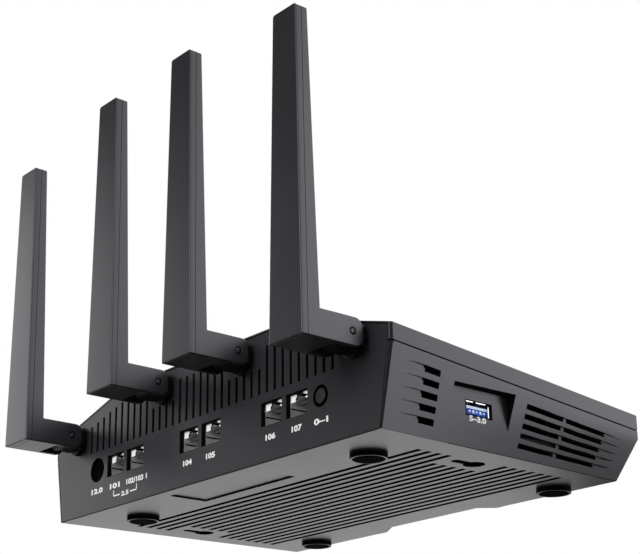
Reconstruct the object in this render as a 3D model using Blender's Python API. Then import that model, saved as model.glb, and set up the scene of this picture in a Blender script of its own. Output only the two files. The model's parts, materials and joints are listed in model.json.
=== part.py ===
"""Wireless router with four folding antennas, modelled as its separate parts.

Units are metres, +Z is up and -Y is the front. The body frame's origin is the middle of the
underside, and the whole router stands on its four rubber pads at Z = 0, centred on its own box.
"""

import math

import bmesh
import bpy
from mathutils import Matrix, Vector

mm = 0.001

# ---------------------------------------------------------------- driving dimensions
GAP = 0.3 * mm  # between two parts that touch on the real product
WALL = 2.0 * mm  # moulded walls of the housing, the cover and the rear panel

BODY_WIDTH = 233.0 * mm
BODY_DEPTH = 137.0 * mm
HALF_WIDTH = BODY_WIDTH / 2
REAR = BODY_DEPTH / 2
FRONT = -REAR
BASE_INSET_REAR = 6.2 * mm  # the underside is narrower than the parting line, on each side
BASE_INSET_FRONT = 12.1 * mm
BASE_FRONT_SETBACK = 0.8 * mm
BASE_CORNER_CUT = 0.3 * mm
CREASE_REAR = 31.2 * mm  # where the leaning side wall turns upright
CREASE_FRONT = 15.5 * mm
PARTING_REAR = 32.0 * mm  # line between the housing and the cover
PARTING_FRONT = 19.3 * mm
BAND_REAR = 38.8 * mm  # top of the cover's upright side band
BAND_FRONT = 25.7 * mm
ROOF_HEIGHT = 54.2 * mm  # rear edge of the plateau, above the underside
ROOF_SLOPE = 0.269  # rise of the roof's sides, for each unit of width
PLATEAU_TAPER = 7.0 * mm  # on each side, from the rear to the plateau's front end
PLATEAU_END = FRONT + 38.5 * mm
CORNER_CUT = 0.9 * mm  # chamfer of the upright rear corners

RIM = 0.6 * mm  # strip of the floor left showing below the rear panel
RIM_SIDE = 2.1 * mm  # width of the corner strip beside the rear panel, at the parting line
LIP = 1.1 * mm  # edge of the roof that shows above the rear panel

FOOT_X_REAR = HALF_WIDTH - 39.5 * mm
FOOT_X_FRONT = HALF_WIDTH - 38.5 * mm
FOOT_Y_REAR = REAR - 23.5 * mm
FOOT_Y_FRONT = FRONT + 9.9 * mm
FOOT_DIAMETER = 14.7 * mm
FOOT_HEIGHT = 1.85 * mm
PAD_DIAMETER = 12.4 * mm
PAD_THICKNESS = 1.5 * mm
PAD_PROUD = 0.3 * mm

FLOOR_SLOT_PITCH = 5.24 * mm
FLOOR_SLOT_WIDTH = 2.1 * mm
FLOOR_SLOT_FIRST = REAR - 33.2 * mm
FLOOR_SLOT_LAST = FRONT + 24.0 * mm  # no row lies further forward
FLOOR_SLOT_HALF = HALF_WIDTH - 21.3 * mm
KEYHOLE_CLEAR = 3.4 * mm  # from a keyhole to the ends of the rows beside it
KEYHOLE_CLEAR_Y = 5.1 * mm
KEYHOLE_X = 90.0 * mm
KEYHOLE_Y = 1.3 * mm
KEYHOLE_HEAD = 9.0 * mm
KEYHOLE_NECK = 4.2 * mm
KEYHOLE_REACH = 12.0 * mm
LABEL_WIDTH = 61.5 * mm
LABEL_DEPTH = 19.0 * mm
LABEL_Y = REAR - 15.5 * mm
LABEL_SINK = 0.6 * mm

COMB_PITCH = 4.98 * mm
COMB_WIDTH = 1.3 * mm
COMB_BOTTOM = 28.1 * mm
COMB_CENTRE = 0.8 * mm
COMB_HALF = HALF_WIDTH - 30.9 * mm  # how far the vents reach to each side
COMB_TOP_MARGIN = 6.9 * mm  # below the roofline

PORT_Z = 19.4 * mm
LAN_PORTS = (64.9 * mm, 49.3 * mm, 8.9 * mm, -6.75 * mm, -46.8 * mm, -62.5 * mm)
LAN_OPENING = (12.8 * mm, 9.5 * mm)
LAN_SOCKET = (11.8 * mm, 8.2 * mm, 14.0 * mm)
LAN_JACK = (15.0 * mm, 21.0 * mm, 12.7 * mm)
POWER_X = 79.8 * mm
POWER_OPENING = 10.9 * mm
POWER_JACK = (9.4 * mm, 14.0 * mm, 12.4 * mm)
POWER_SOCKET = 6.4 * mm
POWER_PIN = 2.1 * mm
POWER_SOCKET_DEPTH = 9.5 * mm
RESET_X = -76.7 * mm
RESET_OPENING = 8.5 * mm
RESET_DIAMETER = 6.0 * mm
RESET_TRAVEL = 1.0 * mm
RESET_PROUD = 0.2 * mm

USB_Y = REAR - 49.5 * mm
USB_Z = 14.8 * mm
USB_OPENING = (14.4 * mm, 6.2 * mm)
USB_SHELL = (13.4 * mm, 5.5 * mm)
USB_LENGTH = 15.0 * mm
USB_FACE_X = HALF_WIDTH - 5.6 * mm  # upright floor of the pocket round the socket
POCKET_REAR = USB_Y + 16.7 * mm
POCKET_FRONT = USB_Y - 15.5 * mm
POCKET_TOP = 22.3 * mm

SIDE_ROWS = 5
REAR_VENT = (REAR - 17.5 * mm, REAR - 25.5 * mm)
REAR_VENT_TIP = REAR - 7.0 * mm
FRONT_VENT = (FRONT + 65.0 * mm, FRONT + 19.0 * mm)
FRONT_VENT_TIP = FRONT + 8.5 * mm
FRONT_VENT_RIB = (FRONT + 43.3 * mm, FRONT + 41.7 * mm)
SIDE_ROW_FIRST = 0.2  # share of the leaning wall's height, bottom row and step between rows
SIDE_ROW_STEP = 0.158
SIDE_SLOT_SHARE = 0.085
GROOVE_DEPTH = 0.8 * mm

SCOOP_HALF = 30.5 * mm  # hollow under the front edge
SCOOP_HALF_FRONT = 40.5 * mm
SCOOP_BACK = FRONT + 7.7 * mm
SCOOP_RISE = 7.5 * mm

BOARD_HALF = HALF_WIDTH - 18.5 * mm
BOARD_REAR = REAR - 4.5 * mm
BOARD_FRONT = FRONT + 18.5 * mm
BOARD_UNDER = 10.9 * mm
BOARD_THICKNESS = 1.6 * mm
BOARD_INSET = 8.0 * mm
PEG_LENGTH = 1.0 * mm  # what shows above the board

SCREW_SHANK = 2.4 * mm
SCREW_HEAD = 5.2 * mm
SCREW_HEAD_HEIGHT = 1.5 * mm
SCREW_LENGTH = 12.0 * mm
POST_DIAMETER = 6.6 * mm
SLEEVE_DIAMETER = 8.6 * mm  # ring of the housing that each cover post stands on
SLEEVE_HEIGHT = 4.8 * mm

ANTENNA_OUTER_X = HALF_WIDTH - 19.9 * mm
ANTENNA_INNER_X = 28.0 * mm
AXIS_OUTER_Z = 35.8 * mm
AXIS_INNER_Z = 45.3 * mm
AXIS_REACH = 9.0 * mm  # tilt axis behind the rear panel
ARM_HEIGHT = 11.3 * mm
ARM_END = 5.0 * mm  # arm past the tilt axis
ARM_CORNER = 3.6 * mm
CHEEK = 2.2 * mm
BLADE_WIDTH = 19.1 * mm
BLADE_TOP_WIDTH = 14.0 * mm
BLADE_BACK = 24.0 * mm  # rear face, behind the tilt axis
BLADE_DEPTH = 9.1 * mm
BLADE_TOP_DEPTH = 5.9 * mm
BLADE_HEIGHT = 132.8 * mm  # from the arm's underside
SEAM_DEPTH = 2.7 * mm  # thickness of the back shell
SHELL_WALL = 1.4 * mm
UNDER_OPENING = 7.5 * mm
PIN_DIAMETER = 2.4 * mm
BARREL_DIAMETER = 9.2 * mm
KNUCKLE_WEB = 8.4 * mm
NECK_DIAMETER = 9.6 * mm
NECK_LENGTH = 8.0 * mm
NECK_GROOVE = 1.0 * mm
COLLAR_DIAMETER = 13.4 * mm
COLLAR_THICKNESS = 1.5 * mm
CLIP_DIAMETER = 12.8 * mm
CLIP_THICKNESS = 1.8 * mm
LEAD_BORE = 4.0 * mm
LEAD_DIAMETER = 1.4 * mm
LEAD_REACH = 26.0 * mm

PROCESSOR = (19.0 * mm, 1.2 * mm)
PROCESSOR_Y = 8.0 * mm
SINK_SIZE = (78.0 * mm, 46.0 * mm)
SINK_BASE = 2.5 * mm
SINK_FINS = 12
SINK_FIN = 1.5 * mm
SINK_FIN_HEIGHT = 9.0 * mm
SHIELD_SIZE = (40.0 * mm, 30.0 * mm, 3.4 * mm)
SHIELD_X = 68.0 * mm
SHEET = 0.4 * mm  # folded metal of the shields and the USB shell

ROOF_SLOTS = 6  # on each side of the plateau
ROOF_SLOT_PITCH = 6.0 * mm
ROOF_SLOT_WIDTH = 1.8 * mm
ROOF_SLOT_REAR = REAR - 32.5 * mm
ROOF_SLOT_LENGTH = 44.0 * mm
ROOF_SLOT_STEP = 2.5 * mm  # each slot is shorter than its neighbour by this
INDICATORS = 5
INDICATOR_PITCH = 9.0 * mm
INDICATOR_Y = FRONT + 7.0 * mm
INDICATOR_WINDOW = (4.2 * mm, 1.6 * mm)
GUIDE_LIFT = 6.0 * mm

# ---------------------------------------------------------------- values that follow
PANEL_INNER = REAR - WALL
BOARD_TOP = BOARD_UNDER + BOARD_THICKNESS
BODY_LIFT = FOOT_HEIGHT + PAD_PROUD
AXIS_Y = REAR + AXIS_REACH
BODY_SHIFT = -(AXIS_Y + BLADE_BACK + FRONT) / 2  # centres the whole router's box on Y = 0
PLATEAU_HALF = HALF_WIDTH - (ROOF_HEIGHT - BAND_REAR) / ROOF_SLOPE  # at the rear edge
PLATEAU_HALF_FRONT = PLATEAU_HALF - PLATEAU_TAPER
FEET = [
    ("rear_left", FOOT_X_REAR, FOOT_Y_REAR),
    ("rear_right", -FOOT_X_REAR, FOOT_Y_REAR),
    ("front_left", FOOT_X_FRONT, FOOT_Y_FRONT),
    ("front_right", -FOOT_X_FRONT, FOOT_Y_FRONT),
]
ANTENNAS = [
    (1, ANTENNA_OUTER_X, AXIS_OUTER_Z),
    (2, ANTENNA_INNER_X, AXIS_INNER_Z),
    (3, -ANTENNA_INNER_X, AXIS_INNER_Z),
    (4, -ANTENNA_OUTER_X, AXIS_OUTER_Z),
]

for leftover in list(bpy.data.objects):
    bpy.data.objects.remove(leftover, do_unlink=True)

parts = bpy.data.collections.new("wireless_router")
cutters = bpy.data.collections.new("cutters")
cutters.hide_render = True
for collection in (parts, cutters):
    bpy.context.scene.collection.children.link(collection)


# ---------------------------------------------------------------- helpers
def material(name, colour, roughness, metallic=0.0):
    finish = bpy.data.materials.new(name)
    finish.use_nodes = True
    shader = finish.node_tree.nodes["Principled BSDF"]
    shader.inputs["Base Color"].default_value = (*colour, 1.0)
    shader.inputs["Roughness"].default_value = roughness
    shader.inputs["Metallic"].default_value = metallic
    return finish


def frame(name, location, parent=None):
    empty = bpy.data.objects.new(name, None)
    empty.location = location
    empty.empty_display_size = 0.01
    empty.parent = parent
    parts.objects.link(empty)
    return empty


def add_box(bm, low, high):
    low, high = Vector(low), Vector(high)
    made = bmesh.ops.create_cube(bm, size=1.0)["verts"]
    bmesh.ops.scale(bm, vec=high - low, verts=made)
    bmesh.ops.translate(bm, vec=(low + high) / 2, verts=made)


def add_rod(bm, diameter, start, end, sides=24):
    """A capped cylinder from start to end."""
    start, end = Vector(start), Vector(end)
    turn = Vector((0, 0, 1)).rotation_difference(end - start).to_matrix().to_4x4()
    place = Matrix.Translation((start + end) / 2) @ turn
    radius = diameter / 2
    bmesh.ops.create_cone(
        bm, cap_ends=True, segments=sides, radius1=radius, radius2=radius,
        depth=(end - start).length, matrix=place,
    )


def add_hull(bm, points):
    """The convex solid round the points, with its flat faces left whole."""
    corners = [bm.verts.new(point) for point in points]
    made = bmesh.ops.convex_hull(bm, input=corners, use_existing_faces=False)
    spare = {item for key in ("geom_interior", "geom_unused") for item in made[key]}
    loose = [item for item in spare if isinstance(item, bmesh.types.BMVert)]
    bmesh.ops.delete(bm, geom=loose, context="VERTS")


def add_prism(bm, outline, low, high, axis="Y"):
    """A flat outline, given in the two other axes, drawn out from low to high along one axis."""
    order = {"X": (2, 0, 1), "Y": (0, 2, 1), "Z": (0, 1, 2)}[axis]
    flat = [(a, b, low) for a, b in outline]
    corners = [bm.verts.new([point[i] for i in order]) for point in flat]
    face = bm.faces.new(corners)
    drawn = bmesh.ops.extrude_face_region(bm, geom=[face])["geom"]
    moved = [item for item in drawn if isinstance(item, bmesh.types.BMVert)]
    shift = {"X": (high - low, 0, 0), "Y": (0, high - low, 0), "Z": (0, 0, high - low)}[axis]
    bmesh.ops.translate(bm, vec=shift, verts=moved)


def add_loft(bm, rings):
    """Rings with equally many points, skinned in order and capped at both ends."""
    loops = [[bm.verts.new(point) for point in ring] for ring in rings]
    count = len(loops[0])
    for lower, upper in zip(loops, loops[1:]):
        for i in range(count):
            j = (i + 1) % count
            bm.faces.new((lower[i], lower[j], upper[j], upper[i]))
    bm.faces.new(loops[0])
    bm.faces.new(loops[-1])


def shape(name, build, *values):
    """Runs a builder on a new mesh and turns its faces outward."""
    bm = bmesh.new()
    build(bm, *values)
    bmesh.ops.recalc_face_normals(bm, faces=bm.faces)
    mesh = bpy.data.meshes.new(name)
    bm.to_mesh(mesh)
    bm.free()
    return mesh


def part(name, mesh, finish, parent, smooth=False):
    piece = bpy.data.objects.new(name, mesh)
    piece.parent = parent
    parts.objects.link(piece)
    if not mesh.materials:
        mesh.materials.append(finish)
    if smooth:
        mesh.shade_smooth()
        mesh.set_sharp_from_angle(angle=math.radians(35))
    return piece


def tool(name, build, *values, parent=None):
    """A cutter or a block to add: kept in its own collection and left out of renders."""
    helper = bpy.data.objects.new(name, shape(name, build, *values))
    helper.parent = parent
    helper.hide_render = True
    helper.display_type = "WIRE"
    cutters.objects.link(helper)
    return helper


def combine(target, helper, operation="DIFFERENCE"):
    modifier = target.modifiers.new(helper.name, "BOOLEAN")
    modifier.operation = operation
    modifier.object = helper


def baked(piece):
    """The piece's mesh with its modifiers applied, for parts that are made once and used again."""
    bpy.context.view_layer.update()
    evaluated = piece.evaluated_get(bpy.context.evaluated_depsgraph_get())
    mesh = bpy.data.meshes.new_from_object(evaluated)
    mesh.name = piece.name
    bpy.data.objects.remove(piece, do_unlink=True)
    return mesh


def many(bm, builder, items):
    for item in items:
        builder(bm, *item)


def blend(low, high, share):
    return low + (high - low) * share


# ---------------------------------------------------------------- finishes
charcoal = material("charcoal_plastic", (0.052, 0.053, 0.058), 0.42)
charcoal_cover = material("charcoal_cover", (0.058, 0.059, 0.064), 0.40)
charcoal_rear = material("charcoal_rear", (0.045, 0.046, 0.051), 0.46)
antenna_plastic = material("antenna_plastic", (0.060, 0.060, 0.066), 0.44)
dark_plastic = material("dark_plastic", (0.02, 0.02, 0.022), 0.5)
rubber = material("black_rubber", (0.012, 0.012, 0.013), 0.8)
steel = material("plated_steel", (0.62, 0.62, 0.60), 0.28, 1.0)
tin = material("tinned_shield", (0.55, 0.55, 0.56), 0.35, 1.0)
aluminium = material("aluminium", (0.72, 0.72, 0.74), 0.38, 1.0)
board_green = material("circuit_board", (0.02, 0.10, 0.045), 0.45)
chip_black = material("chip_package", (0.015, 0.015, 0.017), 0.35)
usb_blue = material("usb_insert", (0.03, 0.16, 0.62), 0.35)
clear_guide = material("light_guide", (0.75, 0.78, 0.80), 0.15)
copper_strip = material("antenna_strip", (0.32, 0.24, 0.10), 0.40)
lead_grey = material("coax_lead", (0.10, 0.10, 0.10), 0.5)

body = frame("body_frame", (0, BODY_SHIFT, BODY_LIFT))


# ---------------------------------------------------------------- body surfaces
def slope_z(y, rear, front):
    return blend(front, rear, (y - FRONT) / BODY_DEPTH)


def crease_z(y):
    return slope_z(y, CREASE_REAR, CREASE_FRONT)


def base_half(y):
    return HALF_WIDTH - slope_z(y, BASE_INSET_REAR, BASE_INSET_FRONT)


def wall_half(y, z):
    """Half of the body's width at a height on the leaning side wall."""
    share = min(z / crease_z(y), 1.0)
    return blend(base_half(y), HALF_WIDTH, share)


def roof_z(x):
    return min(ROOF_HEIGHT, BAND_REAR + ROOF_SLOPE * (HALF_WIDTH - abs(x)))


def body_ring(half_at, z_at, cut, inset=0.0, stations=8, rear=REAR, front=FRONT):
    """One turn round the body: the rear corners cut, both long sides in short steps."""
    rear, front = rear - inset, front + inset
    side = [blend(rear - cut, front, i / stations) for i in range(stations + 1)]
    right = [Vector((-(half_at(y) - inset), y, z_at(y))) for y in side]
    left = [Vector((-point.x, point.y, point.z)) for point in reversed(right)]
    behind = half_at(rear) - inset - cut
    across = [Vector((behind, rear, z_at(rear))), Vector((-behind, rear, z_at(rear)))]
    return right + left + across


def housing_rings(inset, low, top_lift):
    """Underside, crease and parting line, all moved inward by the same inset."""
    parting = lambda y: slope_z(y, PARTING_REAR, PARTING_FRONT) + top_lift
    setback = FRONT + BASE_FRONT_SETBACK
    return [
        body_ring(lambda y: wall_half(y, max(low, 0)), lambda y: low, BASE_CORNER_CUT, inset,
                  front=setback),
        body_ring(lambda y: HALF_WIDTH, crease_z, CORNER_CUT, inset),
        body_ring(lambda y: HALF_WIDTH, parting, CORNER_CUT, inset),
    ]


def add_housing(bm):
    add_loft(bm, housing_rings(0.0, 0.0, -GAP / 2))


def add_housing_cavity(bm):
    add_loft(bm, housing_rings(WALL, WALL, 2 * WALL))


def panel_outline(grow=0.0):
    """Rear panel seen from behind, as (x, z) corners. Its top runs below the roof's lip."""
    low = RIM + GAP - grow
    half_low = base_half(REAR) - RIM - GAP + grow
    half_high = HALF_WIDTH - RIM_SIDE + grow
    knee = PARTING_REAR
    shoulder = BAND_REAR + ROOF_SLOPE * (HALF_WIDTH - half_high)
    over = grow - LIP
    right = [
        (half_low, low), (half_high, knee), (half_high, shoulder + over),
        (PLATEAU_HALF, ROOF_HEIGHT + over),
    ]
    return right + [(-x, z) for x, z in reversed(right)]


# ---------------------------------------------------------------- lower housing
def floor_rows():
    """Middle and half-length of each row of the floor's vents; rows by a keyhole stop short."""
    low = KEYHOLE_Y - KEYHOLE_HEAD / 2 - KEYHOLE_CLEAR_Y
    high = KEYHOLE_Y + KEYHOLE_REACH + KEYHOLE_CLEAR_Y
    short = min(FLOOR_SLOT_HALF, KEYHOLE_X - KEYHOLE_HEAD / 2 - KEYHOLE_CLEAR)
    rows = int((FLOOR_SLOT_FIRST - FLOOR_SLOT_LAST) / FLOOR_SLOT_PITCH) + 1
    for row in range(rows):
        y = FLOOR_SLOT_FIRST - FLOOR_SLOT_PITCH * row
        yield y, short if low < y < high else FLOOR_SLOT_HALF


def add_floor_slots(bm):
    for y, half in floor_rows():
        low = (-half, y - FLOOR_SLOT_WIDTH / 2, -WALL)
        add_box(bm, low, (half, y + FLOOR_SLOT_WIDTH / 2, WALL + 0.1 * mm))


def floor_ribs():
    """Ribs across the slots, on the inner face of the floor."""
    first = FLOOR_SLOT_FIRST + FLOOR_SLOT_PITCH
    last = FLOOR_SLOT_LAST - FLOOR_SLOT_PITCH
    for x in (-FLOOR_SLOT_HALF * 0.58, 0.0, FLOOR_SLOT_HALF * 0.58):
        yield (x - WALL / 2, last, 0), (x + WALL / 2, first, 2 * WALL)


def board_supports():
    """Two standoffs that take a screw, on one diagonal, and two with a peg on the other."""
    x = BOARD_HALF - BOARD_INSET
    rear, front = BOARD_REAR - 2 * BOARD_INSET, BOARD_FRONT + BOARD_INSET
    return [(x, rear), (-x, front)], [(x, front), (-x, rear)]


def keyhole_blocks():
    return [(side * KEYHOLE_X, KEYHOLE_Y) for side in (1, -1)]


def add_keyhole(bm, x, y):
    """Round entry with a narrow neck to the rear, as one outline."""
    head, neck = KEYHOLE_HEAD / 2, KEYHOLE_NECK / 2
    start = math.asin(neck / head)
    steps = 14
    outline = []
    for i in range(steps + 1):
        turn = start + (2 * math.pi - 2 * start) * i / steps
        outline.append((x + head * math.sin(turn), y + head * math.cos(turn)))
    end = y + KEYHOLE_REACH - neck
    for i in range(7):
        turn = math.pi * (1 - i / 6)
        outline.append((x + neck * math.cos(turn), end + neck * math.sin(turn)))
    add_prism(bm, outline, -WALL, WALL + 0.1 * mm, "Z")


def scoop_points(grow):
    back = SCOOP_BACK + grow
    front = FRONT - 2 * mm
    rise = SCOOP_RISE + grow * 1.4
    wide = SCOOP_HALF_FRONT + grow
    narrow = SCOOP_HALF + grow
    low = -1 * mm
    return [
        (narrow, back, low), (-narrow, back, low), (wide, front, low), (-wide, front, low),
        (narrow * 0.8, front, rise), (-narrow * 0.8, front, rise),
        (narrow, back, 0.05 * mm + grow), (-narrow, back, 0.05 * mm + grow),
    ]


def pocket_block():
    """Wall that backs the pocket round the USB socket."""
    low = (-HALF_WIDTH - WALL, POCKET_FRONT - WALL, 0)
    high = (-USB_FACE_X + WALL, POCKET_REAR + WALL, POCKET_TOP + WALL)
    return low, high


def side_slot(y0, y1, row, side):
    """One vent of the side wall: a bar that follows the row, through the wall."""
    share = SIDE_ROW_FIRST + SIDE_ROW_STEP * row
    half = SIDE_SLOT_SHARE / 2
    outline = []
    for y, sign in ((y0, -1), (y1, -1), (y1, 1), (y0, 1)):
        outline.append((y, (share + sign * half) * crease_z(y)))
    inner = base_half(FRONT) - 2 * WALL
    outer = HALF_WIDTH + WALL
    return outline, *sorted((side * inner, side * outer)), "X"


def groove_points(y0, tip, row, side):
    """A shallow wedge that runs out of a vent's end and dies away in the wall."""
    share = SIDE_ROW_FIRST + SIDE_ROW_STEP * row + SIDE_SLOT_SHARE / 4
    step = math.copysign(0.4 * mm, y0 - tip)
    y0 += step
    points = []
    for sign in (-1, 1):
        z = (share + sign * SIDE_SLOT_SHARE / 4) * crease_z(y0)
        half = wall_half(y0, z)
        points += [(side * (half - GROOVE_DEPTH), y0, z), (side * (half + 2 * mm), y0, z)]
    z = share * crease_z(tip)
    half = wall_half(tip, z)
    for lift in (0.05 * mm, 0.25 * mm):
        points += [(side * half, tip, z), (side * (half + 2 * mm), tip, z + lift)]
    return points


def add_side_vents(bm, side):
    for row in range(SIDE_ROWS):
        spans = [REAR_VENT, (FRONT_VENT[0], FRONT_VENT_RIB[0]), (FRONT_VENT_RIB[1], FRONT_VENT[1])]
        for y0, y1 in spans:
            add_prism(bm, *side_slot(y0, y1, row, side))


def add_side_grooves(bm, side):
    for row in range(SIDE_ROWS):
        add_hull(bm, groove_points(REAR_VENT[0], REAR_VENT_TIP, row, side))
        add_hull(bm, groove_points(FRONT_VENT[1], FRONT_VENT_TIP, row, side))


def make_lower_housing():
    housing = part("lower_housing", shape("lower_housing", add_housing), charcoal, body)
    cavity = tool("housing_cavity", add_housing_cavity, parent=body)
    scoop_wall = tool("scoop_wall", add_hull, scoop_points(WALL), parent=body)
    combine(cavity, scoop_wall)
    combine(cavity, tool("pocket_wall", add_box, *pocket_block(), parent=body))
    combine(cavity, tool("floor_ribs", many, add_box, list(floor_ribs()), parent=body))

    standoff_top = BOARD_UNDER - GAP
    screwed, pegged = board_supports()
    posts = [(POST_DIAMETER, (x, y, 0), (x, y, standoff_top)) for x, y in screwed + pegged]
    combine(cavity, tool("board_standoffs", many, add_rod, posts, parent=body))
    peg_top = BOARD_TOP + PEG_LENGTH
    pegs = [(SCREW_SHANK, (x, y, WALL), (x, y, peg_top), 12) for x, y in pegged]
    combine(cavity, tool("board_pegs", many, add_rod, pegs, parent=body))
    sleeves = [(SLEEVE_DIAMETER, (x, y, 0), (x, y, SLEEVE_HEIGHT)) for _, x, y in FEET]
    combine(cavity, tool("screw_sleeves", many, add_rod, sleeves, parent=body))
    combine(housing, cavity)

    seat_low = PANEL_INNER - GAP
    seat = tool("panel_seat", add_prism, panel_outline(GAP), seat_low, REAR + WALL, parent=body)
    combine(housing, seat)
    bosses = [(FOOT_DIAMETER, (x, y, -FOOT_HEIGHT), (x, y, WALL / 2), 32) for _, x, y in FEET]
    combine(housing, tool("foot_bosses", many, add_rod, bosses, parent=body), "UNION")

    pad_top = -BODY_LIFT + PAD_THICKNESS + GAP
    pads = [(PAD_DIAMETER + 2 * GAP, (x, y, -3 * WALL), (x, y, pad_top), 32) for _, x, y in FEET]
    combine(housing, tool("pad_recesses", many, add_rod, pads, parent=body))
    heads = [(SCREW_HEAD + 2 * GAP, (x, y, -WALL), (x, y, screw_head_top() + GAP)) for _, x, y in FEET]
    combine(housing, tool("head_recesses", many, add_rod, heads, parent=body))
    shanks = [(SCREW_SHANK + 2 * GAP, (x, y, 0), (x, y, SLEEVE_HEIGHT + WALL)) for _, x, y in FEET]
    combine(housing, tool("shank_holes", many, add_rod, shanks, parent=body))
    bores = [
        (SCREW_SHANK + 2 * GAP, (x, y, 1.5 * WALL), (x, y, BOARD_UNDER + WALL))
        for x, y in screwed
    ]
    combine(housing, tool("standoff_bores", many, add_rod, bores, parent=body))

    combine(housing, tool("floor_slots", add_floor_slots, parent=body))
    combine(housing, tool("keyholes", many, add_keyhole, keyhole_blocks(), parent=body))
    label_low = (-LABEL_WIDTH / 2, LABEL_Y - LABEL_DEPTH / 2, -WALL)
    label_high = (LABEL_WIDTH / 2, LABEL_Y + LABEL_DEPTH / 2, LABEL_SINK)
    combine(housing, tool("label_recess", add_box, label_low, label_high, parent=body))
    combine(housing, tool("front_scoop", add_hull, scoop_points(0.0), parent=body))

    for side, hand in ((1, "left"), (-1, "right")):
        combine(housing, tool(f"{hand}_vents", add_side_vents, side, parent=body))
        combine(housing, tool(f"{hand}_grooves", add_side_grooves, side, parent=body))

    pocket_low = (-HALF_WIDTH - WALL, POCKET_FRONT, -0.1 * mm)
    pocket_high = (-USB_FACE_X, POCKET_REAR, POCKET_TOP)
    combine(housing, tool("usb_pocket", add_box, pocket_low, pocket_high, parent=body))
    wide, tall = USB_OPENING
    hole_low = (-HALF_WIDTH, USB_Y - wide / 2, USB_Z - tall / 2)
    hole_high = (-USB_FACE_X + 2 * WALL, USB_Y + wide / 2, USB_Z + tall / 2)
    combine(housing, tool("usb_opening", add_box, hole_low, hole_high, parent=body))


# ---------------------------------------------------------------- top cover
def cover_points(inset, low_lift):
    """Corners of the cover's outside, or of its hollow when inset is the wall."""
    flat = lambda y: HALF_WIDTH
    parting = lambda y: slope_z(y, PARTING_REAR, PARTING_FRONT) + low_lift
    band = lambda y: slope_z(y, BAND_REAR, BAND_FRONT) - 0.1 * inset
    points = body_ring(flat, parting, CORNER_CUT, inset, stations=1)
    points += body_ring(flat, band, CORNER_CUT, inset, stations=1)
    rear = REAR - inset
    for side in (1, -1):
        points.append((side * PLATEAU_HALF, rear, ROOF_HEIGHT - inset))
        points.append((side * PLATEAU_HALF_FRONT, PLATEAU_END, plateau_end_z() - inset))
    return points


def plateau_end_z():
    lean = ROOF_SLOPE * (HALF_WIDTH - PLATEAU_HALF_FRONT)
    return slope_z(PLATEAU_END, BAND_REAR, BAND_FRONT) + lean


def roof_surface(x, y):
    """Height of the cover's outside over a point of the plan."""
    side = slope_z(y, BAND_REAR, BAND_FRONT) + ROOF_SLOPE * (HALF_WIDTH - abs(x))
    end_z = plateau_end_z()
    front = blend(BAND_FRONT, end_z, (y - FRONT) / (PLATEAU_END - FRONT))
    top = blend(end_z, ROOF_HEIGHT, (y - PLATEAU_END) / (REAR - PLATEAU_END))
    return min(side, front, top)


def roof_slots():
    for side in (1, -1):
        for i in range(ROOF_SLOTS):
            x = side * (PLATEAU_HALF + ROOF_SLOT_PITCH * (i + 0.8))
            front = ROOF_SLOT_REAR - ROOF_SLOT_LENGTH + ROOF_SLOT_STEP * i
            low = (x - ROOF_SLOT_WIDTH / 2, front, PARTING_REAR)
            yield low, (x + ROOF_SLOT_WIDTH / 2, ROOF_SLOT_REAR, ROOF_HEIGHT + WALL)


def indicator_windows(grow, low, high):
    wide, deep = INDICATOR_WINDOW
    for i in range(INDICATORS):
        x = (i - (INDICATORS - 1) / 2) * INDICATOR_PITCH
        yield (
            (x - wide / 2 - grow, INDICATOR_Y - deep / 2 - grow, low),
            (x + wide / 2 + grow, INDICATOR_Y + deep / 2 + grow, high),
        )


def make_top_cover():
    cover = part("top_cover", shape("top_cover", add_hull, cover_points(0.0, GAP / 2)),
                 charcoal_cover, body)
    hollow = tool("cover_hollow", add_hull, cover_points(WALL, -2 * WALL), parent=body)
    combine(cover, hollow)
    seat_low = PANEL_INNER - GAP
    combine(cover, tool("cover_panel_seat", add_prism, panel_outline(GAP), seat_low, REAR + WALL,
                        parent=body))
    posts, bores = [], []
    foot_of_post = SLEEVE_HEIGHT + GAP
    for _, x, y in FEET:
        outer = POST_DIAMETER / 2
        top = roof_surface(abs(x) + outer, y - outer) - WALL / 2
        posts.append((POST_DIAMETER, (x, y, foot_of_post), (x, y, top)))
        bores.append((SCREW_SHANK + 2 * GAP, (x, y, 0), (x, y, screw_end() + GAP), 12))
    combine(cover, tool("cover_posts", many, add_rod, posts, parent=body), "UNION")
    combine(cover, tool("post_bores", many, add_rod, bores, parent=body))
    combine(cover, tool("roof_slots", many, add_box, list(roof_slots()), parent=body))
    back, depth = PANEL_INNER, CLIP_THICKNESS + 3 * GAP
    reliefs = [(CLIP_DIAMETER + 2 * GAP, (x, back - depth, z), (x, back, z)) for _, x, z in ANTENNAS]
    combine(cover, tool("clip_reliefs", many, add_rod, reliefs, parent=body))
    windows = list(indicator_windows(GAP, PARTING_FRONT, ROOF_HEIGHT))
    combine(cover, tool("indicator_windows", many, add_box, windows, parent=body))


# ---------------------------------------------------------------- rear panel
def comb_slots():
    """Upright vents whose tops follow the roofline and stop under the inner hinges."""
    steps = int(COMB_HALF / COMB_PITCH)
    for i in range(-steps, steps + 1):
        x = COMB_CENTRE + COMB_PITCH * i
        top = roof_z(x) - COMB_TOP_MARGIN
        near_hinge = abs(abs(x) - ANTENNA_INNER_X) < CLIP_DIAMETER / 2 + COMB_PITCH
        if near_hinge:
            top = min(top, AXIS_INNER_Z - COLLAR_DIAMETER / 2)
        low = (x - COMB_WIDTH / 2, PANEL_INNER - WALL, COMB_BOTTOM)
        yield low, (x + COMB_WIDTH / 2, REAR + WALL, top)


def lan_openings():
    wide, tall = LAN_OPENING
    for x in LAN_PORTS:
        low = (x - wide / 2, PANEL_INNER - WALL, PORT_Z - tall / 2)
        yield low, (x + wide / 2, REAR + WALL, PORT_Z + tall / 2)


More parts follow.
